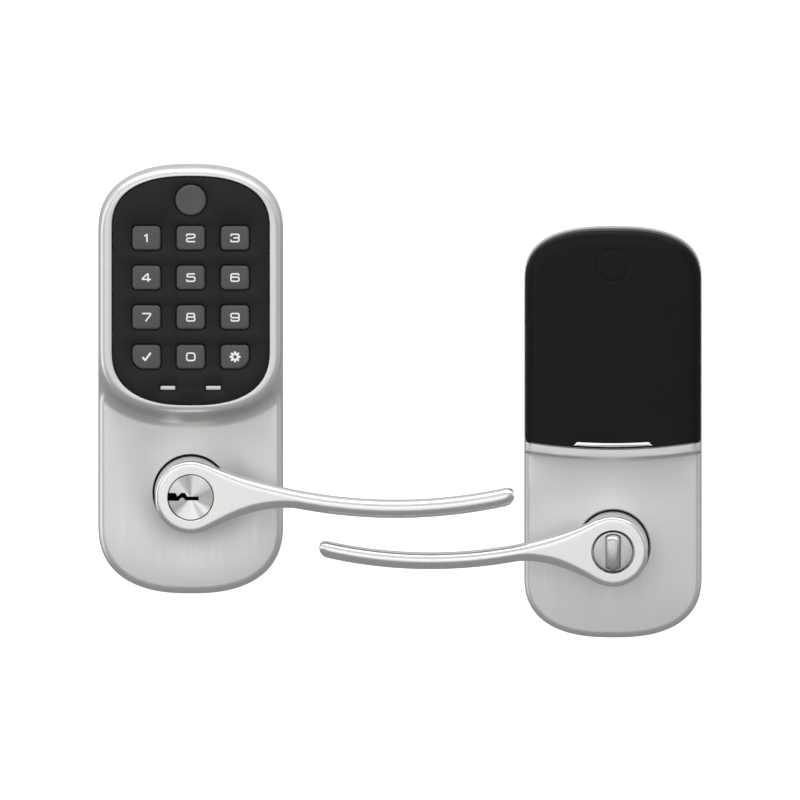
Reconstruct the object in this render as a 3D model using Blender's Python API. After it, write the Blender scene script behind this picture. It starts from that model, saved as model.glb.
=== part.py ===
"""Keypad smart lock: the two halves of a lever lock laid side by side, backs on the door plane.

The exterior half carries the keypad and a keyed lever, the interior half the batteries and a
lever with a thumb-turn. Lengths are in millimetres until a vertex is made. "out" is the distance
in front of the door plane, towards -Y. The origin is where the exterior lever's axis meets the
door plane, +X is to the right seen from the front, and +Z is up.
"""

from math import cos, pi, radians, sin, sqrt

import bmesh
import bpy
from mathutils import Matrix, Vector

MM = 0.001

# Fits
GAP = 0.3  # between pieces that only rest against each other
RUNNING = 0.1  # radial, between a turning sleeve and its bearing
WALL = 2.6  # cast wall of both escutcheons
SEAM = 0.05  # step between castings' blocks, so that no two faces lie in one plane
ARCH_STEPS = 9  # straight pieces in a quarter of an outline
ROUND_SIDES = 32  # sides of a large turned piece
SMALL_SIDES = 16  # sides of a small one

# Exterior escutcheon: plate below, keypad pod above
EXTERIOR_HALF = 37.0  # half the width
EXTERIOR_LOW = -40.7  # bottom edge, from the lever's axis
EXTERIOR_HIGH = 130.9  # top edge
EXTERIOR_LOW_ARCH = (28.0, 2.45)  # height and power of the rounded bottom
EXTERIOR_HIGH_ARCH = (27.2, 2.4)
PLATE_FRONT = 16.0  # out to the face of both lower plates
EXTERIOR_RIM = 3.0  # bevel round the lower plate
POD_FRONT = 29.5  # out to the pod's lip
POD_LOW = 31.6  # pod's lowest point
POD_LOW_ARCH = (26.0, 2.5)
POD_ROUND = 3.3  # rounded edge of the pod
GASKET = 1.5  # thickness of the seal against the door
BACK_PLATE = 2.0  # sheet thickness

# Keypad
BEZEL_SIDE = 5.7  # metal left at the fascia's sides
BEZEL_TOP = 3.9
BEZEL_LOW = 4.2
FASCIA_HIGH_ARCH = (20.8, 2.5)
FASCIA_LOW_ARCH = (22.0, 2.5)
FASCIA_FRONT = 29.2
LIP = 2.4  # thickness of the bezel's lip
FLANGE = 1.8  # thickness of the hidden flanges on the fascia and the keys
KEY_WIDE = 11.2
KEY_HIGH = 9.5
KEY_CORNER = 1.6
KEY_CUT = 4.6  # corner radius that follows the fascia's rounded bottom
KEY_PITCH = 17.7  # column spacing
KEY_CLEAR = 0.55  # dark gap round each key
KEY_PROUD = 0.8  # key top above the fascia
KEY_TRAVEL = 0.9
KEY_FLANGE = 1.1  # hidden rim that keeps a key in its hole
FIRST_ROW = 24.4  # below the fascia's top
LAST_ROW = 19.2  # above the fascia's bottom
WAKE_RADIUS = 6.1
WAKE_DROP = 9.2  # centre below the fascia's top
TERMINAL_WIDE = 6.0
TERMINAL_HIGH = 1.7
TERMINAL_APART = 18.2  # centre to centre
TERMINAL_RISE = 6.7  # above the fascia's bottom
MEMBRANE = 1.2
DOME = 1.0  # height of a rubber dome above its sheet
BOARD = 1.6  # circuit board thickness
SPEAKER_RADIUS = 9.0
SPEAKER_DEEP = 6.0

# Interior escutcheon: plate below, battery housing above
HALVES_APART = 96.4  # clear width between the two halves
INTERIOR_DROP = 21.7  # interior lever's axis below the exterior one's
INTERIOR_HALF = 35.5
INTERIOR_LOW = -36.6  # from the interior lever's axis
INTERIOR_HIGH = 127.6
INTERIOR_LOW_ARCH = (24.8, 2.5)
INTERIOR_HIGH_ARCH = (22.0, 2.65)
INTERIOR_RIM = 2.6
HOUSING_FRONT = 27.3  # out to the strip below the cover
HOUSING_BASE = 12.0  # out to the ledge that the cover's sides stand on
STRIP_HIGH = 3.9  # height of that strip
SMILE_LOW = 39.8  # cover's lower edge at the middle
SMILE_RISE = 2.9  # how much higher it is at the sides
COVER_WALL = 1.9
COVER_FRONT = 28.8
COVER_ROUND = 2.6
COVER_INSET = 0.3  # cover inside the metal's outline
COVER_RUN = 0.6  # between the cover's walls and the housing that it slides over
GRIP_HALF = 15.9  # half the grip's width along its lower edge
GRIP_TALL = 1.75
GRIP_BRIDGE = 0.6  # cover left below the grip
MOUNTING_PLATE = 2.0

# Batteries
CELL_RADIUS = 7.1
CELL_LONG = 50.3
CELL_APART = 0.8  # between neighbouring cells
CELL_COUNT = 4
CELL_SIDES = 18
CONTACT = 2.6  # room for the contacts at each end
TRAY_WALL = 0.9
TRAY_CORNER = 2.2
TRAY_LOW = 53.4  # from the interior lever's axis

# Levers
HUB_FACE = 57.0  # out to a hub's face
HUB_EDGE = 1.8
EXTERIOR_HUB = 14.5
INTERIOR_HUB = 14.1
ROSE_CLEAR = 0.7  # gap between the hub and the plate
SLEEVE = 10.4  # radius of the sleeve behind the hub
SLEEVE_BORE = 8.0
SLEEVE_END = 4.4  # out to the sleeve's inner end
GROOVE_DEEP = 1.0
GROOVE_WIDE = 1.1
GROOVE_OUT = 5.0
ARM_DEEP = 12.0
ARM_OUT = 50.4  # out to the middle of an arm
ARM_SIDES = 14
EXTERIOR_ARM = {"reach": 129.5, "thick": 7.1, "dip": -4.8, "dip_at": 82.0, "bend": 207.0, "waist": 44.0}
INTERIOR_ARM = {"reach": 117.5, "thick": 6.5, "dip": -3.9, "dip_at": 73.0, "bend": 190.0, "waist": 40.0}

# Lever bearings, springs and spindles
BEARING_WALL = 2.7
CAGE_BACK = 6.0  # out to the cage's open side
CAGE_WALL = 1.1
SPRING_ROOM = 4.1  # between the cage's two walls
SPRING_WIRE = 0.7  # radius
SPRING_TURNS = 2.5
SPRING_STEPS = 14  # straight pieces in one turn
SPINDLE_RADIUS = 4.8
SPINDLE_BORE = 3.6
SPINDLE_REACH = 22.0  # behind the door plane

# Key cylinder and thumb-turn
CYLINDER_RADIUS = 9.0
CYLINDER_CLEAR = 0.3
CYLINDER_BACK = 26.0
PLUG_RADIUS = 6.4
PLUG_FACE = 1.5
KEYWAY_THIN = 1.5
KEYWAY_WIDE = 3.2
KEYWAY_END = 3.2  # right end of the keyway
TAILPIECE_REACH = 26.0
TURN_RADIUS = 8.05
TURN_CLEAR = 0.5
TURN_BAR = 6.4
TURN_PROUD = 3.0  # bar in front of the hub's face

# Fixings
POST_APART = 38.1
POST_RADIUS = 3.0
POST_REACH = 26.0
POST_BORE = 2.2
BOLT_RADIUS = 2.2
BOLT_HEAD = 4.2
SLOT_WIDE = 16.0  # cable slot in each back sheet
SLOT_HIGH = 9.0
SLOT_RISE = 24.0  # centre above the lever's axis
SCREW_APART = 60.0
SCREW_DROP = 14.0
SCREW_RADIUS = 1.4

# Clutch drive
MOTOR_RADIUS = 4.8
MOTOR_LONG = 16.0
SLIDER_LOW = 4.2  # slider's depth below and above the screw's axis
SLIDER_HIGH = 3.6
SLIDER_CLEAR = 0.8  # between the slider and the spring cage
SCREW_LONG = 17.0
WORM_RADIUS = 1.6
WORM_RIDGES = 12  # one to each turn of the screw's thread
SLIDER_LONG = 6.0

CELL_PITCH = 2 * CELL_RADIUS + CELL_APART
INTERIOR_X = EXTERIOR_HALF + HALVES_APART + INTERIOR_HALF
EXTERIOR_AXIS = (0.0, 0.0)
INTERIOR_AXIS = (INTERIOR_X, -INTERIOR_DROP)
FASCIA_TOP = EXTERIOR_HIGH - BEZEL_TOP
FASCIA_BOTTOM = POD_LOW + BEZEL_LOW
RIM_BACK = GASKET + GAP  # out to the exterior escutcheon's back edge
BEARING_RADIUS = SLEEVE + RUNNING + BEARING_WALL
CAGE_RADIUS = BEARING_RADIUS + GAP + 2 * CAGE_WALL + SPRING_ROOM
CLUTCH_RISE = CAGE_RADIUS + SLIDER_CLEAR + SLIDER_LOW  # screw's axis above the lever's
PLATE_BACK = PLATE_FRONT - WALL  # inner face of both lower plates
FASCIA_FLANGE = min(BEZEL_SIDE, BEZEL_TOP, BEZEL_LOW) - WALL - GAP  # width that fits inside the pod
FASCIA_BACK = POD_FRONT - LIP - GAP - FLANGE
KEY_BACK = FASCIA_BACK - GAP - FLANGE
MEMBRANE_FRONT = KEY_BACK - KEY_TRAVEL - GAP - DOME
BOARD_FRONT = MEMBRANE_FRONT - MEMBRANE - GAP
HOUSING_DEEP = COVER_FRONT - COVER_WALL - COVER_RUN  # out to the battery housing's front
TRAY_HALF = CELL_COUNT * CELL_PITCH / 2 + TRAY_WALL
TRAY_HIGH = TRAY_LOW + CELL_LONG + 2 * (CONTACT + TRAY_WALL + GAP)
TRAY_FLOOR = HOUSING_DEEP - 2 * CELL_RADIUS - TRAY_WALL - GAP


# Materials


def material(name, colour, roughness, metallic):
    found = bpy.data.materials.get(name)
    if found:
        return found
    made = bpy.data.materials.new(name)
    made.use_nodes = True
    shader = made.node_tree.nodes["Principled BSDF"]
    shader.inputs["Base Color"].default_value = (*colour, 1.0)
    shader.inputs["Roughness"].default_value = roughness
    shader.inputs["Metallic"].default_value = metallic
    return made


def satin_nickel():
    return material("satin_nickel", (0.62, 0.61, 0.59), 0.32, 1.0)


def polished_nickel():
    return material("polished_nickel", (0.78, 0.77, 0.75), 0.18, 1.0)


def steel():
    return material("zinc_plated_steel", (0.55, 0.56, 0.58), 0.4, 1.0)


def brass():
    return material("brass", (0.72, 0.55, 0.25), 0.35, 1.0)


def black_plastic():
    return material("black_plastic", (0.018, 0.018, 0.019), 0.42, 0.0)


def key_plastic():
    return material("key_plastic", (0.085, 0.085, 0.088), 0.5, 0.0)


def rubber():
    return material("rubber", (0.03, 0.03, 0.03), 0.8, 0.0)


def circuit_green():
    return material("circuit_board", (0.03, 0.16, 0.07), 0.45, 0.0)


def cell_wrap():
    return material("cell_wrap", (0.10, 0.11, 0.12), 0.35, 0.0)


# Outlines: lists of (x, z), anticlockwise seen from the front


def arch(half, base, height, power, sign):
    """Half of a superellipse above base (sign 1) or below it (sign -1)."""
    points = []
    for step in range(2 * ARCH_STEPS + 1):
        angle = pi * step / (2 * ARCH_STEPS)
        across = abs(cos(angle)) ** (2 / power) * (1 if cos(angle) >= 0 else -1)
        rise = abs(sin(angle)) ** (2 / power)
        points.append((sign * half * across, base + sign * height * rise))
    return points


def body_outline(half, low, high, low_arch, high_arch):
    """Straight sides between two arches."""
    bottom = arch(half, low + low_arch[0], *low_arch, -1)
    top = arch(half, high - high_arch[0], *high_arch, 1)
    return bottom + top


def rounded_rectangle(half_wide, half_high, corners, steps=4):
    """corners are radii: lower left, lower right, upper right, upper left."""
    points = []
    quadrants = ((-1, -1, 180), (1, -1, 270), (1, 1, 0), (-1, 1, 90))
    for (side, rise, start), radius in zip(quadrants, corners):
        for step in range(steps + 1):
            angle = radians(start + 90 * step / steps)
            x = side * (half_wide - radius) + radius * cos(angle)
            points.append((x, rise * (half_high - radius) + radius * sin(angle)))
    return points


def circle(radius, sides=SMALL_SIDES):
    return [(radius * cos(2 * pi * i / sides), radius * sin(2 * pi * i / sides)) for i in range(sides)]


def moved(outline, centre):
    return [(x + centre[0], z + centre[1]) for x, z in outline]


def inset(outline, distance):
    """The outline moved inwards, or outwards where distance is negative."""
    points = [Vector(p) for p in outline]
    count = len(points)
    result = []
    for i, point in enumerate(points):
        before = (point - points[i - 1]).normalized()
        after = (points[(i + 1) % count] - point).normalized()
        normal_before = Vector((-before.y, before.x))
        normal_after = Vector((-after.y, after.x))
        middle = (normal_before + normal_after).normalized()
        result.append(tuple(point + middle * (distance / middle.dot(normal_before))))
    return result


# Solids


def place(x, out, z):
    return Vector((x * MM, -out * MM, z * MM))


def finished(name, mesh_data, finish):
    """An object of the mesh, with its faces pointing out and round stretches shaded smooth."""
    bmesh.ops.recalc_face_normals(mesh_data, faces=mesh_data.faces)
    mesh = bpy.data.meshes.new(name)
    mesh_data.to_mesh(mesh)
    mesh_data.free()
    mesh.shade_smooth()
    mesh.set_sharp_from_angle(angle=radians(32))
    made = bpy.data.objects.new(name, mesh)
    bpy.context.scene.collection.objects.link(made)
    made.data.materials.append(finish)
    return made


def lofted(name, sections, finish):
    """Closed solid through sections of (out, outline), all with the same number of points."""
    work = bmesh.new()
    rows = [[work.verts.new(place(x, out, z)) for x, z in outline] for out, outline in sections]
    for low, high in zip(rows, rows[1:]):
        for i, vertex in enumerate(low):
            work.faces.new((low[i - 1], vertex, high[i], high[i - 1]))
    work.faces.new(rows[0])
    work.faces.new(rows[-1])
    return finished(name, work, finish)


def slab(name, outline, back, front, finish):
    return lofted(name, [(back, outline), (front, outline)], finish)


def slabs(name, outlines, back, front, finish):
    """Separate slabs in one mesh, for a cutter that makes several holes."""
    work = bmesh.new()
    for outline in outlines:
        low = [work.verts.new(place(x, back, z)) for x, z in outline]
        high = [work.verts.new(place(x, front, z)) for x, z in outline]
        for i, vertex in enumerate(low):
            work.faces.new((low[i - 1], vertex, high[i], high[i - 1]))
        work.faces.new(low)
        work.faces.new(high)
    return finished(name, work, finish)


def block(name, low, high, finish):
    """Box from (x, out, z) low to high."""
    outline = [(low[0], low[2]), (high[0], low[2]), (high[0], high[2]), (low[0], high[2])]
    return slab(name, outline, low[1], high[1], finish)


def turned(name, centre, profile, finish, sides=ROUND_SIDES):
    """Solid of revolution about the line through centre; profile is (radius, out) points.

    A profile with no point on the axis is closed on itself and makes a ring.
    """
    work = bmesh.new()
    rows = []
    for radius, out in profile:
        if radius < 1e-6:
            rows.append([work.verts.new(place(centre[0], out, centre[1]))] * sides)
            continue
        ring = moved(circle(radius, sides), centre)
        rows.append([work.verts.new(place(x, out, z)) for x, z in ring])
    pairs = list(zip(rows, rows[1:]))
    if all(radius > 1e-6 for radius, out in profile):
        pairs.append((rows[-1], rows[0]))
    for low, high in pairs:
        for i in range(sides):
            corners = [low[i - 1], low[i], high[i], high[i - 1]]
            corners = [v for n, v in enumerate(corners) if v not in corners[:n]]
            if len(corners) > 2:
                work.faces.new(corners)
    return finished(name, work, finish)


def tube(name, path, radius, finish, sides=6):
    """Round wire along a list of (x, out, z) points."""
    points = [place(*p) for p in path]
    work = bmesh.new()
    rows = []
    for i, point in enumerate(points):
        ahead = points[min(i + 1, len(points) - 1)] - points[max(i - 1, 0)]
        across = ahead.cross(Vector((0, 1, 0))).normalized()
        up = across.cross(ahead).normalized()
        turns = [2 * pi * n / sides for n in range(sides)]
        rows.append([work.verts.new(point + radius * MM * (across * cos(t) + up * sin(t))) for t in turns])
    for low, high in zip(rows, rows[1:]):
        for i in range(sides):
            work.faces.new((low[i - 1], low[i], high[i], high[i - 1]))
    work.faces.new(rows[0])
    work.faces.new(rows[-1])
    return finished(name, work, finish)


def boolean(target, operand, operation):
    """operand becomes a hidden helper of target."""
    step = target.modifiers.new(operand.name, "BOOLEAN")
    step.operation = operation
    step.object = operand
    step.solver = "EXACT"
    operand.hide_render = True
    operand.display_type = "WIRE"
    operand.parent = target


def cut(target, *cutters):
    for cutter in cutters:
        boolean(target, cutter, "DIFFERENCE")


def join(target, *others):
    for other in others:
        boolean(target, other, "UNION")


def carried(name, centre, pieces):
    """Parents pieces to an empty on their joint's axis."""
    axis = bpy.data.objects.new(name, None)
    bpy.context.scene.collection.objects.link(axis)
    axis.location = place(centre[0], 0.0, centre[1])
    axis.empty_display_size = 0.01
    for piece in pieces:
        piece.parent = axis
        piece.matrix_parent_inverse = Matrix.Translation(-axis.location)
    return axis


# Exterior half


def exterior_outline():
    return body_outline(EXTERIOR_HALF, EXTERIOR_LOW, EXTERIOR_HIGH, EXTERIOR_LOW_ARCH, EXTERIOR_HIGH_ARCH)


def pod_outline():
    return body_outline(EXTERIOR_HALF, POD_LOW, EXTERIOR_HIGH, POD_LOW_ARCH, EXTERIOR_HIGH_ARCH)


def fascia_outline():
    half = EXTERIOR_HALF - BEZEL_SIDE
    return body_outline(half, FASCIA_BOTTOM, FASCIA_TOP, FASCIA_LOW_ARCH, FASCIA_HIGH_ARCH)


def lower_outline(half, low, low_arch, top):
    """Rounded bottom and straight sides, cut off level at top."""
    return arch(half, low + low_arch[0], *low_arch, -1) + [(half, top), (-half, top)]


def upper_outline(half, low, high, high_arch):
    """Arched top and straight sides, cut off level at low."""
    return [(-half, low), (half, low)] + arch(half, high - high_arch[0], *high_arch, 1)


def rounded_front(outline, back, front, edge, steps=3):
    """Sections of a plate whose front edge is rounded by edge."""
    sections = [(back, outline)]
    for step in range(steps + 1):
        angle = 0.5 * pi * step / steps
        sections.append((front - edge * (1 - sin(angle)), inset(outline, edge * (1 - cos(angle)))))
    return sections


def screw_places():
    return [(side * SCREW_APART / 2, -SCREW_DROP) for side in (-1, 1)]


def exterior_escutcheon():
    metal = satin_nickel()
    pod = rounded_front(pod_outline(), RIM_BACK, POD_FRONT, POD_ROUND)
    body = lofted("exterior_escutcheon", pod, metal)
    half = EXTERIOR_HALF - SEAM
    lower = lower_outline(half, EXTERIOR_LOW, EXTERIOR_LOW_ARCH, POD_LOW + POD_LOW_ARCH[0])
    sections = rounded_front(lower, RIM_BACK + SEAM, PLATE_FRONT, EXTERIOR_RIM)
    plate = lofted("lower_plate", sections, metal)
    join(body, plate)
    low_hollow = slab("plate_hollow", inset(exterior_outline(), WALL), 0.0, PLATE_BACK, metal)
    pod_hollow = slab("pod_hollow", inset(pod_outline(), WALL), 5.0, POD_FRONT - LIP, metal)
    window = slab("fascia_window", inset(fascia_outline(), -GAP), PLATE_BACK, POD_FRONT + 5, metal)
    rose = turned(
        "rose_hole",
        EXTERIOR_AXIS,
        [(0, 5), (EXTERIOR_HUB + ROSE_CLEAR, 5), (EXTERIOR_HUB + ROSE_CLEAR, 25), (0, 25)],
        metal,
    )
    cut(body, low_hollow, pod_hollow, window, rose)
    for side, centre in zip(("left", "right"), screw_places()):
        wall = [
            (SCREW_RADIUS + GAP, RIM_BACK + BACK_PLATE + GAP),
            (2 * SCREW_RADIUS + GAP, RIM_BACK + BACK_PLATE + GAP),
            (2 * SCREW_RADIUS + GAP, PLATE_BACK + 1),
            (SCREW_RADIUS + GAP, PLATE_BACK + 1),
        ]
        join(body, turned(f"screw_boss_{side}", centre, wall, metal, SMALL_SIDES))
    return body


def exterior_gasket():
    outer = inset(exterior_outline(), 0.6)
    seal = slab("exterior_gasket", outer, 0.0, GASKET, rubber())
    cut(seal, slab("gasket_opening", inset(outer, 4.0), -2.0, GASKET + 2, rubber()))
    return seal


def post_places(centre):
    return [(centre[0] + side * POST_APART / 2, centre[1]) for side in (-1, 1)]


def cable_slot(centre):
    slot = rounded_rectangle(SLOT_WIDE / 2, SLOT_HIGH / 2, (3.0,) * 4)
    return moved(slot, (centre[0], centre[1] + SLOT_RISE))


def exterior_back_plate():
    sheet = inset(exterior_outline(), WALL + GAP)
    plate = slab("exterior_back_plate", sheet, RIM_BACK, RIM_BACK + BACK_PLATE, steel())
    hub_hole = circle(SLEEVE + 2.2, ROUND_SIDES)
    posts = [moved(circle(POST_RADIUS + GAP), c) for c in post_places(EXTERIOR_AXIS)]
    screws = [moved(circle(SCREW_RADIUS + GAP), c) for c in screw_places()]
    holes = [hub_hole, cable_slot(EXTERIOR_AXIS)] + posts + screws
    cut(plate, slabs("back_plate_holes", holes, -2.0, 8.0, steel()))
    for side, centre in zip(("left", "right"), screw_places()):
        cut(plate, screw_cone(f"countersink_{side}", centre, GAP))
    return plate


def screw_cone(name, centre, clear):
    """Countersunk head, or with a clearance the seat that it lies in."""
    head = 2 * SCREW_RADIUS
    back = RIM_BACK - (1.0 if clear else -0.1)
    profile = [
        (0, back),
        (head + clear, back),
        (head + clear, RIM_BACK + 0.2),
        (SCREW_RADIUS + clear, RIM_BACK + 0.2 + head - SCREW_RADIUS),
    ]
    profile += [(0, profile[-1][1])] if clear else [(SCREW_RADIUS, PLATE_BACK - 1.5), (0, PLATE_BACK - 1.5)]
    return turned(name, centre, profile, steel(), SMALL_SIDES)


def exterior_screws():
    return [screw_cone(f"exterior_screw_{side}", c, 0.0) for side, c in zip(("left", "right"), screw_places())]


def exterior_posts():
    posts = []
    flange = RIM_BACK + BACK_PLATE + GAP
    for side, centre in zip(("left", "right"), post_places(EXTERIOR_AXIS)):
        profile = [
            (0, flange + 1.4),
            (POST_RADIUS + 1.2, flange + 1.4),
            (POST_RADIUS + 1.2, flange),
            (POST_RADIUS, flange),
            (POST_RADIUS, -POST_REACH),
            (POST_BORE, -POST_REACH),
            (POST_BORE, -4.0),
            (0, -4.0),
        ]
        posts.append(turned(f"exterior_post_{side}", centre, profile, steel(), SMALL_SIDES))
    return posts


# Keypad


def key_rows():
    top = FASCIA_TOP - FIRST_ROW
    bottom = FASCIA_BOTTOM + LAST_ROW
    return [top + (bottom - top) * row / 3 for row in range(4)]


def key_layout():
    """Name, centre and corner radii of each key."""
    names = (("1", "2", "3"), ("4", "5", "6"), ("7", "8", "9"), ("enter", "0", "menu"))
    square = (KEY_CORNER,) * 4
    left_cut = (KEY_CUT,) + (KEY_CORNER,) * 3
    right_cut = (KEY_CORNER, KEY_CUT, KEY_CORNER, KEY_CORNER)
    corners = {"enter": left_cut, "menu": right_cut}
    layout = []
    for height, row in zip(key_rows(), names):
        for column, label in enumerate(row):
            centre = ((column - 1) * KEY_PITCH, height)
            layout.append((f"key_{label}", centre, corners.get(label, square)))
    return layout


def key_outlines():
    """Name and outline of everything that is pressed."""
    found = []
    for name, centre, corners in key_layout():
        shape = rounded_rectangle(KEY_WIDE / 2, KEY_HIGH / 2, corners, steps=3)
        found.append((name, moved(shape, centre)))
    disc = moved(circle(WAKE_RADIUS, 28), (0.0, FASCIA_TOP - WAKE_DROP))
    return found + [("wake_button", disc)]


def terminal_outlines():
    found = []
    for side, sign in (("left", -1), ("right", 1)):
        bar = rounded_rectangle(TERMINAL_WIDE / 2, TERMINAL_HIGH / 2, (0.4,) * 4, steps=2)
        centre = (sign * TERMINAL_APART / 2, FASCIA_BOTTOM + TERMINAL_RISE)
        found.append((f"terminal_{side}", moved(bar, centre)))
    return found


def keypad_fascia():
    plastic = black_plastic()
    front = fascia_outline()
    behind = inset(front, -FASCIA_FLANGE)
    step = FASCIA_BACK + FLANGE
    sections = [(FASCIA_BACK, behind), (step, behind), (step, front), (FASCIA_FRONT - 0.3, front)]
    sections.append((FASCIA_FRONT, inset(front, 0.3)))
    fascia = lofted("keypad_fascia", sections, plastic)
    holes = [inset(outline, -KEY_CLEAR) for name, outline in key_outlines()]
    holes += [inset(outline, -GAP) for name, outline in terminal_outlines()]
    cut(fascia, slabs("fascia_holes", holes, FASCIA_BACK - 3, FASCIA_FRONT + 3, plastic))
    return fascia


def keys():
    made = []
    for name, outline in key_outlines():
        rim = inset(outline, -KEY_FLANGE - KEY_CLEAR)
        step = KEY_BACK + FLANGE
        top = FASCIA_FRONT + KEY_PROUD
        sections = [(KEY_BACK, rim), (step, rim), (step, outline), (top - 0.5, outline)]
        sections.append((top, inset(outline, 0.6)))
        made.append(lofted(name, sections, key_plastic()))
    return made


def middle_of(outline):
    xs = [x for x, z in outline]
    zs = [z for x, z in outline]
    return ((min(xs) + max(xs)) / 2, (min(zs) + max(zs)) / 2)


def keypad_membrane():
    half = EXTERIOR_HALF - BEZEL_SIDE - 3.0
    low = key_rows()[-1] - KEY_HIGH / 2 - 2.4
    sheet = body_outline(half, low, FASCIA_TOP - 3.0, (5.0, 2.5), (FASCIA_HIGH_ARCH[0] - 1.5, 2.5))
    back = MEMBRANE_FRONT - MEMBRANE
    membrane = slab("keypad_membrane", sheet, back, MEMBRANE_FRONT, rubber())
    spots = [moved(circle(3.0, 10), middle_of(outline)) for name, outline in key_outlines()]
    domes = slabs("membrane_domes", spots, back + MEMBRANE / 2, MEMBRANE_FRONT + DOME, rubber())
    join(membrane, domes)
    return membrane


def keypad_circuit_board():
    board = inset(fascia_outline(), 3.0)
    return slab("keypad_circuit_board", board, BOARD_FRONT - BOARD, BOARD_FRONT, circuit_green())


def terminals():
    back = BOARD_FRONT + GAP
    metal = polished_nickel()
    return [slab(name, outline, back, FASCIA_FRONT + 0.6, metal) for name, outline in terminal_outlines()]


def speaker():
    front = BOARD_FRONT - BOARD - GAP
    back = front - SPEAKER_DEEP
    profile = [
        (0, back),
        (SPEAKER_RADIUS * 0.55, back),
        (SPEAKER_RADIUS * 0.55, back + 2.2),
        (SPEAKER_RADIUS, front - 2.0),
        (SPEAKER_RADIUS, front),
        (0, front),
    ]
    return turned("speaker", (0.0, key_rows()[1]), profile, steel(), 24)


# Levers


def arm_height(arm, x):
    """Height of the arm's middle line: level at the hub, then an arc that dips and rises."""

    def arc(at):
        return arm["dip"] + arm["bend"] - sqrt(arm["bend"] ** 2 - (at - arm["dip_at"]) ** 2)

    waist = arm["waist"]
    if x >= waist:
        return arc(x)
    slope = (waist - arm["dip_at"]) / sqrt(arm["bend"] ** 2 - (waist - arm["dip_at"]) ** 2)
    t = x / waist
    return arc(waist) * (3 * t**2 - 2 * t**3) + slope * waist * (t**3 - t**2)


def flare_start(hub):
    """Where the arm's edges leave the hub's circle."""
    return 0.42 * hub


def arm_half(arm, x, hub):
    """Half the arm's height: it flares into the hub."""
    start = flare_start(hub)
    share = max(0.0, 1 - max(0.0, x - start) / (arm["waist"] - start))
    return arm["thick"] / 2 + (0.92 * hub - arm["thick"] / 2) * share**1.8


def lever_arm(name, centre, side, arm, hub):
    """Loft from inside the hub out to a rounded tip; side is 1 to the right, -1 to the left."""
    tip = arm["thick"] / 2
    flare = flare_start(hub)
    runs = [1.0, flare] + [flare + (arm["waist"] - flare) * i / 5 for i in range(1, 6)]
    straight = arm["reach"] - tip - arm["waist"]
    runs += [arm["waist"] + straight * i / 6 for i in range(1, 7)]
    stations = [(x, 1.0) for x in runs]
    for angle in (35, 65, 82):
        stations.append((arm["reach"] - tip + tip * sin(radians(angle)), cos(radians(angle))))
    work = bmesh.new()
    rows = []
    for x, scale in stations:
        half = arm_half(arm, x, hub) * scale
        deep = ARM_DEEP / 2 * (0.35 + 0.65 * scale)
        row = []
        for i in range(ARM_SIDES):
            angle = 2 * pi * i / ARM_SIDES
            up = abs(sin(angle)) ** 0.7 * (1 if sin(angle) >= 0 else -1)
            forward = abs(cos(angle)) ** 0.7 * (1 if cos(angle) >= 0 else -1)
            height = centre[1] + arm_height(arm, x) + half * up
            row.append(work.verts.new(place(centre[0] + side * x, ARM_OUT + deep * forward, height)))
        rows.append(row)
    for low, high in zip(rows, rows[1:]):
        for i in range(ARM_SIDES):
            work.faces.new((low[i - 1], low[i], high[i], high[i - 1]))
    work.faces.new(rows[0])
    work.faces.new(rows[-1])
    return finished(name, work, satin_nickel())


def lever(name, centre, side, arm, hub, bore):
    """Hub, sleeve and arm; bore is the profile of what is bored out from the face."""
    outside = [
        (0, SLEEVE_END),
        (SLEEVE, SLEEVE_END),
        (SLEEVE, GROOVE_OUT),
        (SLEEVE - GROOVE_DEEP, GROOVE_OUT),
        (SLEEVE - GROOVE_DEEP, GROOVE_OUT + GROOVE_WIDE),
        (SLEEVE, GROOVE_OUT + GROOVE_WIDE),
        (SLEEVE, PLATE_BACK + 0.8),
        (hub, PLATE_BACK + 0.8),
        (hub, HUB_FACE - HUB_EDGE),
        (hub - HUB_EDGE * 0.3, HUB_FACE - HUB_EDGE * 0.3),
        (hub - HUB_EDGE, HUB_FACE),
        (0, HUB_FACE),
    ]
    made = turned(name, centre, outside, satin_nickel())
    join(made, lever_arm(f"{name}_arm", centre, side, arm, hub))
    cut(made, turned(f"{name}_bore", centre, bore, satin_nickel()))
    return made


def exterior_lever():
    bore = CYLINDER_RADIUS + CYLINDER_CLEAR
    profile = [
        (0, SLEEVE_END - 3),
        (SLEEVE_BORE, SLEEVE_END - 3),
        (SLEEVE_BORE, CYLINDER_BACK - 2),
        (bore, CYLINDER_BACK - 2),
        (bore, HUB_FACE + 3),
        (0, HUB_FACE + 3),
    ]
    made = lever("exterior_lever", EXTERIOR_AXIS, 1, EXTERIOR_ARM, EXTERIOR_HUB, profile)
    low, high = chamber_box(CYLINDER_CLEAR)
    cut(made, block("pin_chamber_room", low, high, satin_nickel()))
    return made


def interior_lever():
    socket = TURN_RADIUS + TURN_CLEAR
    neck = SPINDLE_BORE - 0.2
    profile = [
        (0, SLEEVE_END - 3),
        (SLEEVE_BORE, SLEEVE_END - 3),
        (SLEEVE_BORE, CYLINDER_BACK - 6),
        (neck, CYLINDER_BACK - 6),
        (neck, HUB_FACE - 12),
        (socket, HUB_FACE - 12),
        (socket, HUB_FACE + 3),
        (0, HUB_FACE + 3),
    ]
    return lever("interior_lever", INTERIOR_AXIS, -1, INTERIOR_ARM, INTERIOR_HUB, profile)


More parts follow.
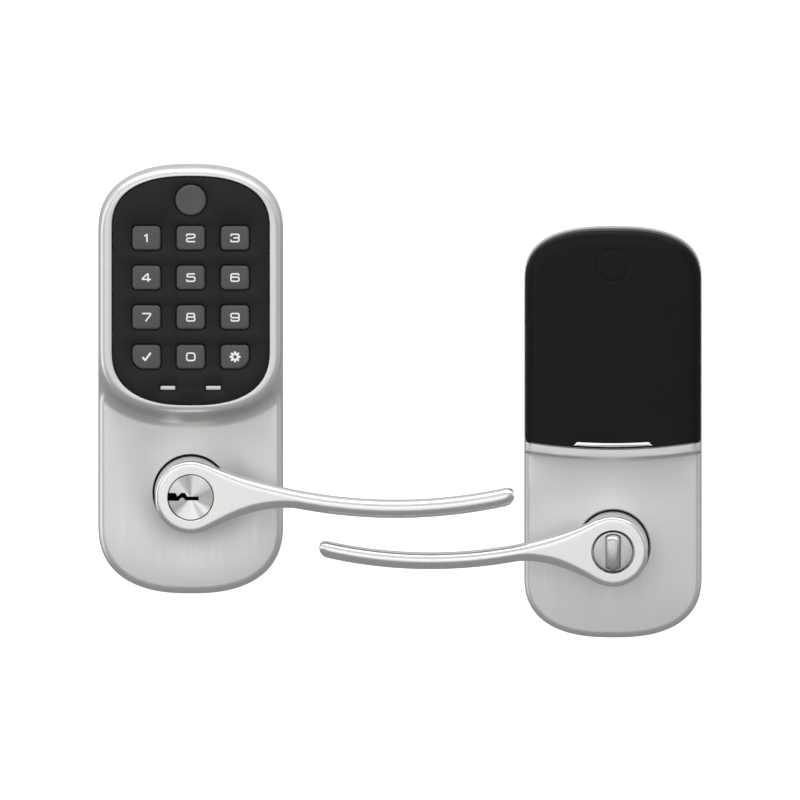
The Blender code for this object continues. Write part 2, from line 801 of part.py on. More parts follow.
def lever_fittings(prefix, centre):
    """Bearing, spring and cage, which stay put, and the ring and spindle that turn with the lever."""
    inner = SLEEVE + RUNNING
    front = PLATE_BACK - GAP
    ring = [
        (inner, CAGE_BACK + 0.4),
        (BEARING_RADIUS, CAGE_BACK + 0.4),
        (BEARING_RADIUS, front - 0.1),
        (inner, front - 0.1),
    ]
    turned(f"{prefix}_bearing", centre, ring, brass())
    bore = BEARING_RADIUS + GAP
    wall_in = bore + CAGE_WALL
    wall_out = wall_in + SPRING_ROOM
    channel = [
        (bore, CAGE_BACK),
        (wall_in, CAGE_BACK),
        (wall_in, front - 1.4),
        (wall_out, front - 1.4),
        (wall_out, CAGE_BACK),
        (CAGE_RADIUS, CAGE_BACK),
        (CAGE_RADIUS, front),
        (bore, front),
    ]
    turned(f"{prefix}_spring_cage", centre, channel, steel())
    middle = (wall_in + wall_out) / 2
    low = CAGE_BACK + SPRING_WIRE + 0.2
    high = front - 1.4 - SPRING_WIRE - 0.2
    steps = int(SPRING_TURNS * SPRING_STEPS)
    path = []
    for i in range(steps + 1):
        angle = 2 * pi * SPRING_TURNS * i / steps
        x = centre[0] + middle * cos(angle)
        path.append((x, low + (high - low) * i / steps, centre[1] + middle * sin(angle)))
    tube(f"{prefix}_return_spring", path, SPRING_WIRE, steel())
    groove = SLEEVE - GROOVE_DEEP
    clip = [
        (groove + 0.25, GROOVE_OUT + 0.15),
        (SLEEVE + 1.6, GROOVE_OUT + 0.15),
        (SLEEVE + 1.6, GROOVE_OUT + GROOVE_WIDE - 0.15),
        (groove + 0.25, GROOVE_OUT + GROOVE_WIDE - 0.15),
    ]
    retainer = turned(f"{prefix}_retaining_ring", centre, clip, steel())
    mouth = block(
        f"{prefix}_ring_mouth",
        (centre[0] - 3.0, 0.0, centre[1] - SLEEVE - 5),
        (centre[0] + 3.0, 10.0, centre[1] - groove / 2),
        steel(),
    )
    cut(retainer, mouth)
    flange = SLEEVE_BORE - GAP
    tubular = [
        (SPINDLE_BORE, -SPINDLE_REACH),
        (SPINDLE_RADIUS, -SPINDLE_REACH),
        (SPINDLE_RADIUS, SLEEVE_END + 3.6),
        (flange, SLEEVE_END + 3.6),
        (flange, SLEEVE_END + 7.6),
        (SPINDLE_BORE, SLEEVE_END + 7.6),
    ]
    spindle = turned(f"{prefix}_spindle", centre, tubular, steel(), 24)
    return [retainer, spindle]


def chamber_box(clear):
    """The pin chamber beside the plug, as its low and high corners."""
    low = (PLUG_RADIUS + 0.6, CYLINDER_BACK + 4 - clear, -3.1 - clear)
    high = (EXTERIOR_HUB - 2.4 + clear, CYLINDER_BACK + 24 + clear, 3.1 + clear)
    return low, high


def keyway_outline():
    """Wide mouth at the left edge, a stepped warding and a thin slot to the right."""
    left = -CYLINDER_RADIUS - 0.4
    top = 1.9
    low = top - KEYWAY_WIDE
    slot = low + KEYWAY_THIN
    return [
        (left, low),
        (-4.9, low),
        (-3.7, low + 1.3),
        (-3.1, low + 1.3),
        (-2.2, low),
        (KEYWAY_END, low),
        (KEYWAY_END, slot),
        (-1.4, slot),
        (-2.2, top),
        (-3.9, top),
        (-5.2, slot),
        (-6.2, top),
        (left, top),
    ]


def cylinder_shell():
    bore = PLUG_RADIUS + RUNNING
    front = HUB_FACE - PLUG_FACE - 0.4
    ring = [
        (bore, CYLINDER_BACK),
        (CYLINDER_RADIUS, CYLINDER_BACK),
        (CYLINDER_RADIUS, front),
        (bore, front),
    ]
    shell = turned("cylinder_shell", EXTERIOR_AXIS, ring, brass())
    join(shell, block("pin_chamber", *chamber_box(0.0), brass()))
    entry = [(-CYLINDER_RADIUS - 1, -1.3), (-PLUG_RADIUS + 1, -1.3), (-PLUG_RADIUS + 1, 1.9)]
    entry.append((-CYLINDER_RADIUS - 1, 1.9))
    cut(shell, slab("key_entry", entry, front - 9, front + 3, brass()))
    return shell


def cylinder_plug():
    face = HUB_FACE - PLUG_FACE - 0.1
    profile = [
        (0, CYLINDER_BACK - 1),
        (PLUG_RADIUS, CYLINDER_BACK - 1),
        (PLUG_RADIUS, face),
        (CYLINDER_RADIUS, face),
        (CYLINDER_RADIUS, HUB_FACE - 0.3),
        (CYLINDER_RADIUS - 0.2, HUB_FACE - 0.1),
        (0, HUB_FACE - 0.1),
    ]
    plug = turned("cylinder_plug", EXTERIOR_AXIS, profile, polished_nickel())
    cut(plug, slab("keyway", keyway_outline(), CYLINDER_BACK + 2, HUB_FACE + 3, polished_nickel()))
    return plug


def cylinder_tailpiece():
    front = CYLINDER_BACK - 1 - GAP
    return block("cylinder_tailpiece", (-3.0, -TAILPIECE_REACH, -0.7), (3.0, front, 0.7), steel())


def thumb_turn():
    back = HUB_FACE - 12 + GAP
    disc = [
        (0, back),
        (TURN_RADIUS, back),
        (TURN_RADIUS, HUB_FACE - 1.2),
        (TURN_RADIUS - 0.6, HUB_FACE - 0.7),
        (0, HUB_FACE - 0.7),
    ]
    turn = turned("thumb_turn", INTERIOR_AXIS, disc, polished_nickel())
    tall = sqrt(TURN_RADIUS**2 - (TURN_BAR / 2) ** 2) - 0.15
    base = moved(rounded_rectangle(TURN_BAR / 2, tall, (0.8,) * 4, steps=2), INTERIOR_AXIS)
    top = HUB_FACE + TURN_PROUD
    sections = [(HUB_FACE - 3, base), (top - 1.0, inset(base, 0.2)), (top, inset(base, 0.75))]
    join(turn, lofted("thumb_bar", sections, polished_nickel()))
    return turn


def thumb_turn_spindle():
    front = HUB_FACE - 12
    rod = [(0, -TAILPIECE_REACH), (2.8, -TAILPIECE_REACH), (2.8, front), (0, front)]
    return turned("thumb_turn_spindle", INTERIOR_AXIS, rod, steel(), SMALL_SIDES)


# Interior half


def interior_outline():
    return moved(
        body_outline(INTERIOR_HALF, INTERIOR_LOW, INTERIOR_HIGH, INTERIOR_LOW_ARCH, INTERIOR_HIGH_ARCH),
        INTERIOR_AXIS,
    )


def smile(half, low, steps=8):
    """Curved lower edge, lowest in the middle, from left to right."""
    points = []
    for step in range(steps + 1):
        x = half * (2 * step / steps - 1)
        points.append((x, low + SMILE_RISE * (x / INTERIOR_HALF) ** 2))
    return points


def cover_outline():
    half = INTERIOR_HALF - COVER_INSET
    high = INTERIOR_HIGH - COVER_INSET
    top = arch(half, high - INTERIOR_HIGH_ARCH[0], *INTERIOR_HIGH_ARCH, 1)
    corner = 1.0
    bottom = smile(half - corner, SMILE_LOW)
    side_low = bottom[-1][1] + corner
    return moved(bottom + [(half, side_low)] + top + [(-half, side_low)], INTERIOR_AXIS)


def open_hollow(half, low, high):
    """Outline inside the cover: an arched top, level below."""
    height, power = INTERIOR_HIGH_ARCH
    return moved(upper_outline(half, low, high, (height - 1.0, power)), INTERIOR_AXIS)


def interior_escutcheon():
    metal = satin_nickel()
    base = upper_outline(INTERIOR_HALF - SEAM, SMILE_LOW - 12.0, INTERIOR_HIGH, INTERIOR_HIGH_ARCH)
    body = slab("interior_escutcheon", moved(base, INTERIOR_AXIS), GAP + SEAM, HOUSING_BASE, metal)
    lower = lower_outline(INTERIOR_HALF, INTERIOR_LOW, INTERIOR_LOW_ARCH, SMILE_LOW - 1.5)
    lower = moved(lower, INTERIOR_AXIS)
    plate = lofted("interior_plate", rounded_front(lower, GAP, PLATE_FRONT, INTERIOR_RIM), metal)
    half = INTERIOR_HALF - 2 * SEAM
    strip_top = smile(half, SMILE_LOW - GAP)
    strip_low = smile(half, SMILE_LOW - GAP - STRIP_HIGH)
    strip = moved(strip_low + strip_top[::-1], INTERIOR_AXIS)
    ledge = lofted("housing_strip", rounded_front(strip, 5.0, HOUSING_FRONT, 0.8, 2), metal)
    run = COVER_INSET + COVER_WALL + COVER_RUN
    inner = open_hollow(INTERIOR_HALF - run, SMILE_LOW - GAP - 1.0, INTERIOR_HIGH - run)
    housing = slab("battery_housing", inner, 5.0, HOUSING_DEEP, metal)
    join(body, plate, ledge, housing)
    depth = min(TRAY_FLOOR - GAP - 2.0, HOUSING_BASE - WALL)
    upper = slab("upper_hollow", inset(interior_outline(), WALL), -2.0, depth, metal)
    low_top = SMILE_LOW - GAP - STRIP_HIGH - WALL
    low_shape = lower_outline(INTERIOR_HALF - WALL, INTERIOR_LOW + WALL, INTERIOR_LOW_ARCH, low_top)
    lower_hollow = slab("lower_hollow", moved(low_shape, INTERIOR_AXIS), -2.0, PLATE_BACK, metal)
    rose_radius = INTERIOR_HUB + ROSE_CLEAR + 0.4
    rose = turned(
        "interior_rose_hole", INTERIOR_AXIS, [(0, 5), (rose_radius, 5), (rose_radius, 25), (0, 25)], metal
    )
    half = TRAY_HALF + GAP
    middle = (TRAY_LOW + TRAY_HIGH) / 2
    pocket = rounded_rectangle(half, (TRAY_HIGH - TRAY_LOW) / 2 + GAP, (TRAY_CORNER + GAP,) * 4)
    pocket = moved(moved(pocket, (0.0, middle)), INTERIOR_AXIS)
    bay = slab("battery_bay", pocket, TRAY_FLOOR - GAP, HOUSING_DEEP + 5, metal)
    cut(body, upper, lower_hollow, rose, bay)
    return body


def interior_mounting_plate():
    sheet = inset(interior_outline(), WALL + GAP)
    plate = slab("interior_mounting_plate", sheet, 0.0, MOUNTING_PLATE, steel())
    holes = [moved(circle(SLEEVE + 2.2, ROUND_SIDES), INTERIOR_AXIS)]
    holes += [moved(circle(BOLT_RADIUS + GAP), c) for c in post_places(INTERIOR_AXIS)]
    holes.append(cable_slot(INTERIOR_AXIS))
    cut(plate, slabs("mounting_plate_holes", holes, -4.0, 6.0, steel()))
    return plate


def through_bolts():
    bolts = []
    under = MOUNTING_PLATE + GAP
    for side, centre in zip(("left", "right"), post_places(INTERIOR_AXIS)):
        profile = [
            (0, -POST_REACH),
            (BOLT_RADIUS, -POST_REACH),
            (BOLT_RADIUS, under),
            (BOLT_HEAD, under),
            (BOLT_HEAD, under + 1.6),
            (BOLT_HEAD - 1.2, under + 2.6),
            (0, under + 2.6),
        ]
        bolt = turned(f"through_bolt_{side}", centre, profile, steel(), SMALL_SIDES)
        slot_low = (centre[0] - 0.6, under + 1.4, centre[1] - BOLT_HEAD - 1)
        slot_high = (centre[0] + 0.6, under + 5, centre[1] + BOLT_HEAD + 1)
        cut(bolt, block(f"bolt_slot_{side}", slot_low, slot_high, steel()))
        bolts.append(bolt)
    return bolts


def battery_cover():
    plastic = black_plastic()
    base = HOUSING_BASE + GAP
    cover = lofted("battery_cover", rounded_front(cover_outline(), base, COVER_FRONT, COVER_ROUND), plastic)
    inner = open_hollow(
        INTERIOR_HALF - COVER_INSET - COVER_WALL, 0.0, INTERIOR_HIGH - COVER_INSET - COVER_WALL
    )
    hollow = slab("cover_hollow", inner, 5.0, COVER_FRONT - COVER_WALL, plastic)
    slot = slab("grip_slot", grip_outline(0.0), COVER_FRONT - 6, COVER_FRONT + 6, plastic)
    cut(cover, hollow, slot)
    return cover


def grip_outline(clear):
    """Shallow trapezium with curved long edges, just above the cover's lower edge."""
    low = smile(GRIP_HALF - clear, SMILE_LOW + GRIP_BRIDGE + clear, 6)
    high = smile(GRIP_HALF - 1.4 - clear, SMILE_LOW + GRIP_BRIDGE + GRIP_TALL - clear, 6)
    return moved(low + high[::-1], INTERIOR_AXIS)


def cover_grip():
    back = COVER_FRONT - COVER_WALL + 0.1
    return slab("cover_grip", grip_outline(0.12), back, COVER_FRONT + 0.3, polished_nickel())


def battery_tray():
    plastic = black_plastic()
    middle = (TRAY_LOW + TRAY_HIGH) / 2
    outer = rounded_rectangle(TRAY_HALF, (TRAY_HIGH - TRAY_LOW) / 2, (TRAY_CORNER,) * 4)
    outer = moved(moved(outer, (0.0, middle)), INTERIOR_AXIS)
    tray = slab("battery_tray", outer, TRAY_FLOOR, HOUSING_DEEP - 1.0, plastic)
    hollow = slab("tray_hollow", inset(outer, TRAY_WALL), TRAY_FLOOR + TRAY_WALL, HOUSING_DEEP + 4, plastic)
    cut(tray, hollow)
    return tray


def cell_columns():
    return [INTERIOR_AXIS[0] + CELL_PITCH * (i - (CELL_COUNT - 1) / 2) for i in range(CELL_COUNT)]


def batteries():
    """Upright cells with a button at one end, every second one turned over."""
    low = INTERIOR_AXIS[1] + TRAY_LOW + TRAY_WALL + CONTACT + GAP
    out = TRAY_FLOOR + TRAY_WALL + GAP + CELL_RADIUS
    button = 1.2
    cells = []
    for number, x in enumerate(cell_columns()):
        work = bmesh.new()
        profile = [
            (0, 0),
            (CELL_RADIUS - 0.5, 0),
            (CELL_RADIUS, 0.5),
            (CELL_RADIUS, CELL_LONG - button - 0.5),
            (CELL_RADIUS - 0.5, CELL_LONG - button),
            (2.7, CELL_LONG - button),
            (2.7, CELL_LONG),
            (0, CELL_LONG),
        ]
        rows = []
        for radius, along in profile:
            height = low + (CELL_LONG - along if number % 2 else along)
            spots = [(x + a, out + b) for a, b in circle(radius, CELL_SIDES)]
            if radius < 1e-6:
                rows.append([work.verts.new(place(x, out, height))] * CELL_SIDES)
            else:
                rows.append([work.verts.new(place(a, b, height)) for a, b in spots])
        for near, far in zip(rows, rows[1:]):
            for i in range(CELL_SIDES):
                corners = [near[i - 1], near[i], far[i], far[i - 1]]
                corners = [v for n, v in enumerate(corners) if v not in corners[:n]]
                work.faces.new(corners)
        cells.append(finished(f"battery_{number + 1}", work, cell_wrap()))
    return cells


def battery_contacts():
    """A spring strip at each end of the cells."""
    made = []
    half = TRAY_HALF - TRAY_CORNER
    out = TRAY_FLOOR + TRAY_WALL + GAP + CELL_RADIUS
    bottom = INTERIOR_AXIS[1] + TRAY_LOW + TRAY_WALL + GAP
    top = INTERIOR_AXIS[1] + TRAY_HIGH - TRAY_WALL - GAP
    for name, wall, sign in (("lower", bottom, 1), ("upper", top, -1)):
        ends = sorted((wall, wall + sign * 0.6))
        strip = block(
            f"battery_contacts_{name}",
            (INTERIOR_AXIS[0] - half, out - 5.0, ends[0]),
            (INTERIOR_AXIS[0] + half, out + 5.0, ends[1]),
            polished_nickel(),
        )
        ends = sorted((wall + sign * 0.3, wall + sign * (CONTACT - GAP)))
        for number, x in enumerate(cell_columns()):
            low = (x - 2.2, out - 2.2, ends[0])
            high = (x + 2.2, out + 2.2, ends[1])
            join(strip, block(f"contact_pad_{name}_{number + 1}", low, high, polished_nickel()))
        made.append(strip)
    return made


def interior_circuit_board():
    half = INTERIOR_HALF - WALL - 3.0
    low = SMILE_LOW + 3.0
    shape = rounded_rectangle(half, (TRAY_HIGH - low) / 2, (2.0,) * 4)
    shape = moved(moved(shape, (0.0, (TRAY_HIGH + low) / 2)), INTERIOR_AXIS)
    back = MOUNTING_PLATE + 1.0
    return slab("interior_circuit_board", shape, back, back + BOARD, circuit_green())


# Clutch drive, beside the interior lever's bearing


def lengthwise(name, start, end, radii, finish, sides=SMALL_SIDES):
    """Piece turned about a line along X; radii are (share of the length, radius)."""
    out = MOUNTING_PLATE + 1.0 + MOTOR_RADIUS
    height = INTERIOR_AXIS[1] + CLUTCH_RISE
    work = bmesh.new()
    rows = []
    for share, radius in radii:
        x = INTERIOR_AXIS[0] + start + (end - start) * share
        rows.append([work.verts.new(place(x, out + a, height + b)) for a, b in circle(radius, sides)])
    for low, high in zip(rows, rows[1:]):
        for i in range(sides):
            work.faces.new((low[i - 1], low[i], high[i], high[i - 1]))
    work.faces.new(rows[0])
    work.faces.new(rows[-1])
    return finished(name, work, finish)


def clutch_motor():
    start = SLIDER_LONG + 4.0
    radii = [(0, MOTOR_RADIUS - 0.6), (0.05, MOTOR_RADIUS), (0.95, MOTOR_RADIUS), (1, MOTOR_RADIUS - 0.6)]
    return lengthwise("clutch_motor", start, start + MOTOR_LONG, radii, steel())


def clutch_screw():
    """Lead screw drawn as close-set ridges."""
    end = SLIDER_LONG + 4.0 - GAP
    radii = []
    for i in range(WORM_RIDGES):
        radii += [(i / WORM_RIDGES, WORM_RADIUS - 0.35), ((i + 0.5) / WORM_RIDGES, WORM_RADIUS)]
    radii.append((1.0, WORM_RADIUS - 0.35))
    return lengthwise("clutch_screw", end - SCREW_LONG, end, radii, steel(), 10)


def clutch_slider():
    out = MOUNTING_PLATE + 1.0 + MOTOR_RADIUS
    height = INTERIOR_AXIS[1] + CLUTCH_RISE
    x = INTERIOR_AXIS[0]
    low = (x - SLIDER_LONG / 2, out - 3.4, height - SLIDER_LOW)
    high = (x + SLIDER_LONG / 2, out + 3.4, height + SLIDER_HIGH)
    slider = block("clutch_slider", low, high, brass())
    bore = lengthwise(
        "slider_bore", -SLIDER_LONG, SLIDER_LONG, [(0, WORM_RADIUS + GAP), (1, WORM_RADIUS + GAP)], brass()
    )
    cut(slider, bore)
    return slider


# Assembly

for old in list(bpy.data.objects):
    bpy.data.objects.remove(old, do_unlink=True)

exterior_escutcheon()
exterior_gasket()
exterior_back_plate()
exterior_screws()
exterior_posts()
keypad_fascia()
keys()
keypad_membrane()
keypad_circuit_board()
terminals()
speaker()
exterior_turning = [exterior_lever(), cylinder_shell()] + lever_fittings("exterior", EXTERIOR_AXIS)
exterior_axis = carried("exterior_lever_axis", EXTERIOR_AXIS, exterior_turning)
plug_axis = carried("cylinder_axis", EXTERIOR_AXIS, [cylinder_plug(), cylinder_tailpiece()])
plug_axis.parent = exterior_axis
plug_axis.matrix_parent_inverse = Matrix.Translation(-exterior_axis.location)

interior_escutcheon()
interior_mounting_plate()
through_bolts()
battery_cover()
cover_grip()
battery_tray()
batteries()
battery_contacts()
interior_circuit_board()
clutch_motor()
clutch_screw()
clutch_slider()
interior_turning = [interior_lever()] + lever_fittings("interior", INTERIOR_AXIS)
interior_axis = carried("interior_lever_axis", INTERIOR_AXIS, interior_turning)
turn_axis = carried("thumb_turn_axis", INTERIOR_AXIS, [thumb_turn(), thumb_turn_spindle()])
turn_axis.parent = interior_axis
turn_axis.matrix_parent_inverse = Matrix.Translation(-interior_axis.location)
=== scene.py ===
from math import cos, pi, radians, sin, sqrt

import bmesh
import bpy
import numpy as np
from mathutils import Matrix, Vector
from mathutils.geometry import delaunay_2d_cdt


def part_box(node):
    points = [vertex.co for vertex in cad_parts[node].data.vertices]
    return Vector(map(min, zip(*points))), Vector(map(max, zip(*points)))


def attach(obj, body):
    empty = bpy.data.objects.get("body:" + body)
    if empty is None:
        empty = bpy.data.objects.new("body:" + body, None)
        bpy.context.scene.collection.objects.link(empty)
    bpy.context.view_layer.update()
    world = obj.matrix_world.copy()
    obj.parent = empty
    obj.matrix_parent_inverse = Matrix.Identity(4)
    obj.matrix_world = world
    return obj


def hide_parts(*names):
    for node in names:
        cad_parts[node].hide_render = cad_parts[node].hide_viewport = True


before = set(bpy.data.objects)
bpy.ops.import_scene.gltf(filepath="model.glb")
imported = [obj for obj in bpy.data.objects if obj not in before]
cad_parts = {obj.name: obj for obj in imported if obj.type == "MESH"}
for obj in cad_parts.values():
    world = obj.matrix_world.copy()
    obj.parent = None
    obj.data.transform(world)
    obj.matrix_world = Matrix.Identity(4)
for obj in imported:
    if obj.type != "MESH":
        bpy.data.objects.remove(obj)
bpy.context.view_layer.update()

scene = bpy.context.scene


# Camera, lights and floor. A long lens looks at both halves nearly level, from a little above,
# in an even white studio with its brightest panels above and to the left.

CAMERA_AIM = (0.0837, -0.03, 0.0377)
CAMERA_RISE = radians(3.0)
CAMERA_AWAY = 1.4
VIEW_WIDE = 0.32

camera_data = bpy.data.cameras.new("studio_camera")
camera_data.type = "ORTHO"
camera_data.ortho_scale = VIEW_WIDE
camera_data.clip_end = 20.0
camera = bpy.data.objects.new("studio_camera", camera_data)
camera.location = (
    CAMERA_AIM[0],
    CAMERA_AIM[1] - CAMERA_AWAY * cos(CAMERA_RISE),
    CAMERA_AIM[2] + CAMERA_AWAY * sin(CAMERA_RISE),
)
camera.rotation_euler = (pi / 2 - CAMERA_RISE, 0.0, 0.0)
scene.collection.objects.link(camera)
scene.camera = camera
scene.view_settings.view_transform = "Standard"

# What the metal sees all round: name, centre, wide, high, power. Each panel faces the object.
PANELS = (
    ("overhead_panel", (0.05, -0.12, 0.75), 1.3, 0.42, 2.6),
    ("left_panel", (-0.75, -0.20, 0.10), 0.30, 0.9, 1.3),
    ("front_panel", (-0.18, -1.5, 0.32), 1.5, 1.1, 4.3),
    ("right_panel", (1.0, -0.35, 0.15), 0.16, 0.7, 0.35),
)
for panel_name, centre, wide, high, power in PANELS:
    panel_data = bpy.data.lights.new(panel_name, "AREA")
    panel_data.shape = "RECTANGLE"
    panel_data.size = wide
    panel_data.size_y = high
    panel_data.energy = power
    panel = bpy.data.objects.new(panel_name, panel_data)
    panel.location = centre
    towards = Vector(CAMERA_AIM) - Vector(centre)
    panel.rotation_euler = towards.to_track_quat("-Z", "Y").to_euler()
    scene.collection.objects.link(panel)

# The room: white to the camera, and for reflections darker towards the ground.
room = bpy.data.worlds.new("studio_room")
room.use_nodes = True
scene.world = room
room_nodes = room.node_tree.nodes
room_links = room.node_tree.links
backdrop = room_nodes["Background"]
direction = room_nodes.new("ShaderNodeTexCoord")
height_part = room_nodes.new("ShaderNodeSeparateXYZ")
room_links.new(direction.outputs["Generated"], height_part.inputs["Vector"])
height_ramp = room_nodes.new("ShaderNodeValToRGB")
height_spread = room_nodes.new("ShaderNodeMapRange")
height_spread.inputs["From Min"].default_value = -1.0
room_links.new(height_part.outputs["Z"], height_spread.inputs["Value"])
room_links.new(height_spread.outputs["Result"], height_ramp.inputs["Fac"])
stops = height_ramp.color_ramp.elements
stops[0].position = 0.2
stops[0].color = (0.34, 0.34, 0.34, 1.0)
stops[1].position = 0.85
stops[1].color = (0.8, 0.8, 0.8, 1.0)
middle_stop = stops.new(0.49)
middle_stop.color = (0.42, 0.42, 0.42, 1.0)
room_links.new(height_ramp.outputs["Color"], backdrop.inputs["Color"])
white = room_nodes.new("ShaderNodeBackground")
white.inputs["Color"].default_value = (1.0, 1.0, 1.0, 1.0)
seen = room_nodes.new("ShaderNodeLightPath")
either = room_nodes.new("ShaderNodeMixShader")
room_links.new(seen.outputs["Is Camera Ray"], either.inputs["Fac"])
room_links.new(backdrop.outputs["Background"], either.inputs[1])
room_links.new(white.outputs["Background"], either.inputs[2])
room_links.new(either.outputs["Shader"], room_nodes["World Output"].inputs["Surface"])

FLOOR_LEVEL = -0.13
FLOOR_HALF = 6.0
floor_mesh = bpy.data.meshes.new("floor")
corners = [
    (sx * FLOOR_HALF, sy * FLOOR_HALF, FLOOR_LEVEL)
    for sx, sy in ((-1, -1), (1, -1), (1, 1), (-1, 1))
]
floor_mesh.from_pydata(corners, [], [(0, 1, 2, 3)])
floor = bpy.data.objects.new("floor", floor_mesh)
scene.collection.objects.link(floor)
pale = bpy.data.materials.new("pale_floor")
pale.use_nodes = True
pale_shader = pale.node_tree.nodes["Principled BSDF"]
pale_shader.inputs["Base Color"].default_value = (0.86, 0.86, 0.86, 1.0)
pale_shader.inputs["Roughness"].default_value = 0.9
pale_glow = pale.node_tree.nodes.new("ShaderNodeLightPath")
pale_add = pale.node_tree.nodes.new("ShaderNodeMath")
pale_add.operation = "MULTIPLY"
pale_add.inputs[1].default_value = 0.6
pale.node_tree.links.new(pale_glow.outputs["Is Camera Ray"], pale_add.inputs[0])
pale.node_tree.links.new(pale_add.outputs["Value"], pale_shader.inputs["Emission Strength"])
pale_shader.inputs["Emission Color"].default_value = (1.0, 1.0, 1.0, 1.0)
floor_mesh.materials.append(pale)
floor.visible_glossy = False


# Exterior escutcheon: one zinc casting, brushed and plated in satin nickel. A deep keypad pod
# with a flat lip runs into a lower plate through a hollow fillet; both share their sides.

MM = 0.001
GAP = 0.3
ON_EDGE = 0.05  # a point this near to an outline counts as on it
CROSSING_PAST = 3.0  # how far out past the outline a crossing loop is still followed
LOOP_STEP = 0.9
ARCH_STEPS = 60
EXTERIOR_HALF = 37.0
EXTERIOR_LOW = -40.7
EXTERIOR_HIGH = 130.9
EXTERIOR_LOW_ARCH = (28.0, 2.45)  # how high the rounded end is, and the power of its curve
EXTERIOR_HIGH_ARCH = (27.2, 2.4)
POD_LOW = 31.6
POD_LOW_ARCH = (26.0, 2.5)
POD_FRONT = 29.5
POD_ROUND = 3.3
POD_EDGE = 25.6
POD_FILLET = 6.0
PLATE_FRONT = 16.0
PLATE_BEVEL = 3.1
PLATE_BEVEL_DROP = 3.0
CASTING_BACK = 1.8
CASTING_WALL = 2.3
LIP_ROUND = 0.35
BEZEL = (5.7, 3.9, 4.2)  # the lip's width at the sides, the top and the bottom
FASCIA_HIGH_ARCH = (20.8, 2.5)
FASCIA_LOW_ARCH = (22.0, 2.5)
ROSE_EXTERIOR = 15.2


def out_span(node):
    """How far out of the door a CAD node's back and front lie, in millimetres."""
    low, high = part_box(node)
    return -high.y / MM, -low.y / MM


def place(x, out, z):
    """A point from millimetres: out is the distance in front of the door."""
    return Vector((x * MM, -out * MM, z * MM))


def arch(half, base, height, power, sign):
    """Half of a superellipse above base (sign 1) or below it (sign -1)."""
    points = []
    for step in range(ARCH_STEPS + 1):
        angle = pi * step / ARCH_STEPS
        across = abs(cos(angle)) ** (2 / power) * (1 if cos(angle) >= 0 else -1)
        points.append((sign * half * across, base + sign * height * abs(sin(angle)) ** (2 / power)))
    return points


def spaced(loop):
    """The closed loop with its points an even distance apart."""
    points = np.array([*loop, loop[0]], float)
    runs = np.r_[0, np.cumsum(np.hypot(*np.diff(points, axis=0).T))]
    count = max(8, int(round(runs[-1] / LOOP_STEP)))
    marks = np.linspace(0, runs[-1], count + 1)[:-1]
    return np.column_stack([np.interp(marks, runs, points[:, axis]) for axis in (0, 1)])


def body_outline(half, low, high, low_arch, high_arch):
    """Straight sides between two arches, anticlockwise seen from the front."""
    bottom = arch(half, low + low_arch[0], *low_arch, -1)
    return spaced(bottom + arch(half, high - high_arch[0], *high_arch, 1))


def inset(loop, distance):
    """The loop moved inwards, or outwards where distance is negative."""
    before = loop - np.roll(loop, 1, axis=0)
    after = np.roll(loop, -1, axis=0) - loop
    along = before / np.hypot(*before.T)[:, None] + after / np.hypot(*after.T)[:, None]
    along /= np.hypot(*along.T)[:, None]
    return loop + distance * np.column_stack([-along[:, 1], along[:, 0]])


def depth_inside(points, loop):
    """How far each point lies inside the closed loop: negative outside it."""
    start = loop
    run = np.roll(loop, -1, axis=0) - start
    length = (run**2).sum(1)
    nearest = np.full(len(points), np.inf)
    crossings = np.zeros(len(points), int)
    for (sx, sz), (rx, rz), square in zip(start, run, length):
        dx = points[:, 0] - sx
        dz = points[:, 1] - sz
        share = np.clip((dx * rx + dz * rz) / square, 0, 1)
        nearest = np.minimum(nearest, (dx - share * rx) ** 2 + (dz - share * rz) ** 2)
        spans = (dz >= 0) != (dz - rz >= 0)
        if rz:
            crossings += spans & (dx < dz * rx / rz)
    return np.sqrt(nearest) * np.where(crossings % 2, 1, -1)


def rounding(depth, radius, drop):
    """How far an edge has fallen away at each depth inside it: a quarter round."""
    share = np.clip(1 - depth / radius, 0, 1)
    return drop * (1 - np.sqrt(1 - share**2))


def ring(radius, centre=(0.0, 0.0), step=LOOP_STEP):
    """A circle as a loop."""
    count = max(24, int(2 * pi * radius / step))
    turn = np.arange(count) * 2 * pi / count
    return np.column_stack([centre[0] + radius * np.cos(turn), centre[1] + radius * np.sin(turn)])


def plan_faces(loops, outline, holes, crossing=()):
    """Triangles over the outline, less its holes, that follow every loop given.

    A loop in crossing may run out past the outline, and is cut where it meets it.
    """
    points = []
    edges = []
    for loop in [*loops, *crossing]:
        reach = -CROSSING_PAST if any(loop is other for other in crossing) else -1e-4
        inside = depth_inside(loop, outline) > reach
        first = len(points)
        points += [Vector(p) for p in loop]
        count = len(loop)
        edges += [
            (first + i, first + (i + 1) % count)
            for i in range(count)
            if inside[i] and inside[(i + 1) % count]
        ]
    made, _, triangles, _, _, _ = delaunay_2d_cdt(points, edges, [], 0, 1e-6)
    spots = np.array([tuple(p) for p in made])
    middles = spots[np.array([tuple(t) for t in triangles])].mean(1)
    keep = depth_inside(middles, outline) > 0
    for hole in holes:
        keep &= depth_inside(middles, hole) < 0
    return spots, [tuple(t) for t, kept in zip(triangles, keep) if kept]


def smooth(piece, angle=32):
    """Round stretches shade smooth, and edges sharper than the angle stay crisp."""
    piece.data.shade_smooth()
    piece.data.set_sharp_from_angle(angle=radians(angle))
    return piece


def standing(name, work, finish):
    """The bmesh as an object at the origin, in its finish."""
    mesh = bpy.data.meshes.new(name)
    work.to_mesh(mesh)
    work.free()
    piece = bpy.data.objects.new(name, mesh)
    scene.collection.objects.link(piece)
    mesh.materials.append(finish)
    return piece


def piece_from(name, work, finish, angle=32):
    """The bmesh as a finished piece, with its faces pointing outwards."""
    bmesh.ops.recalc_face_normals(work, faces=work.faces)
    return smooth(standing(name, work, finish), angle)


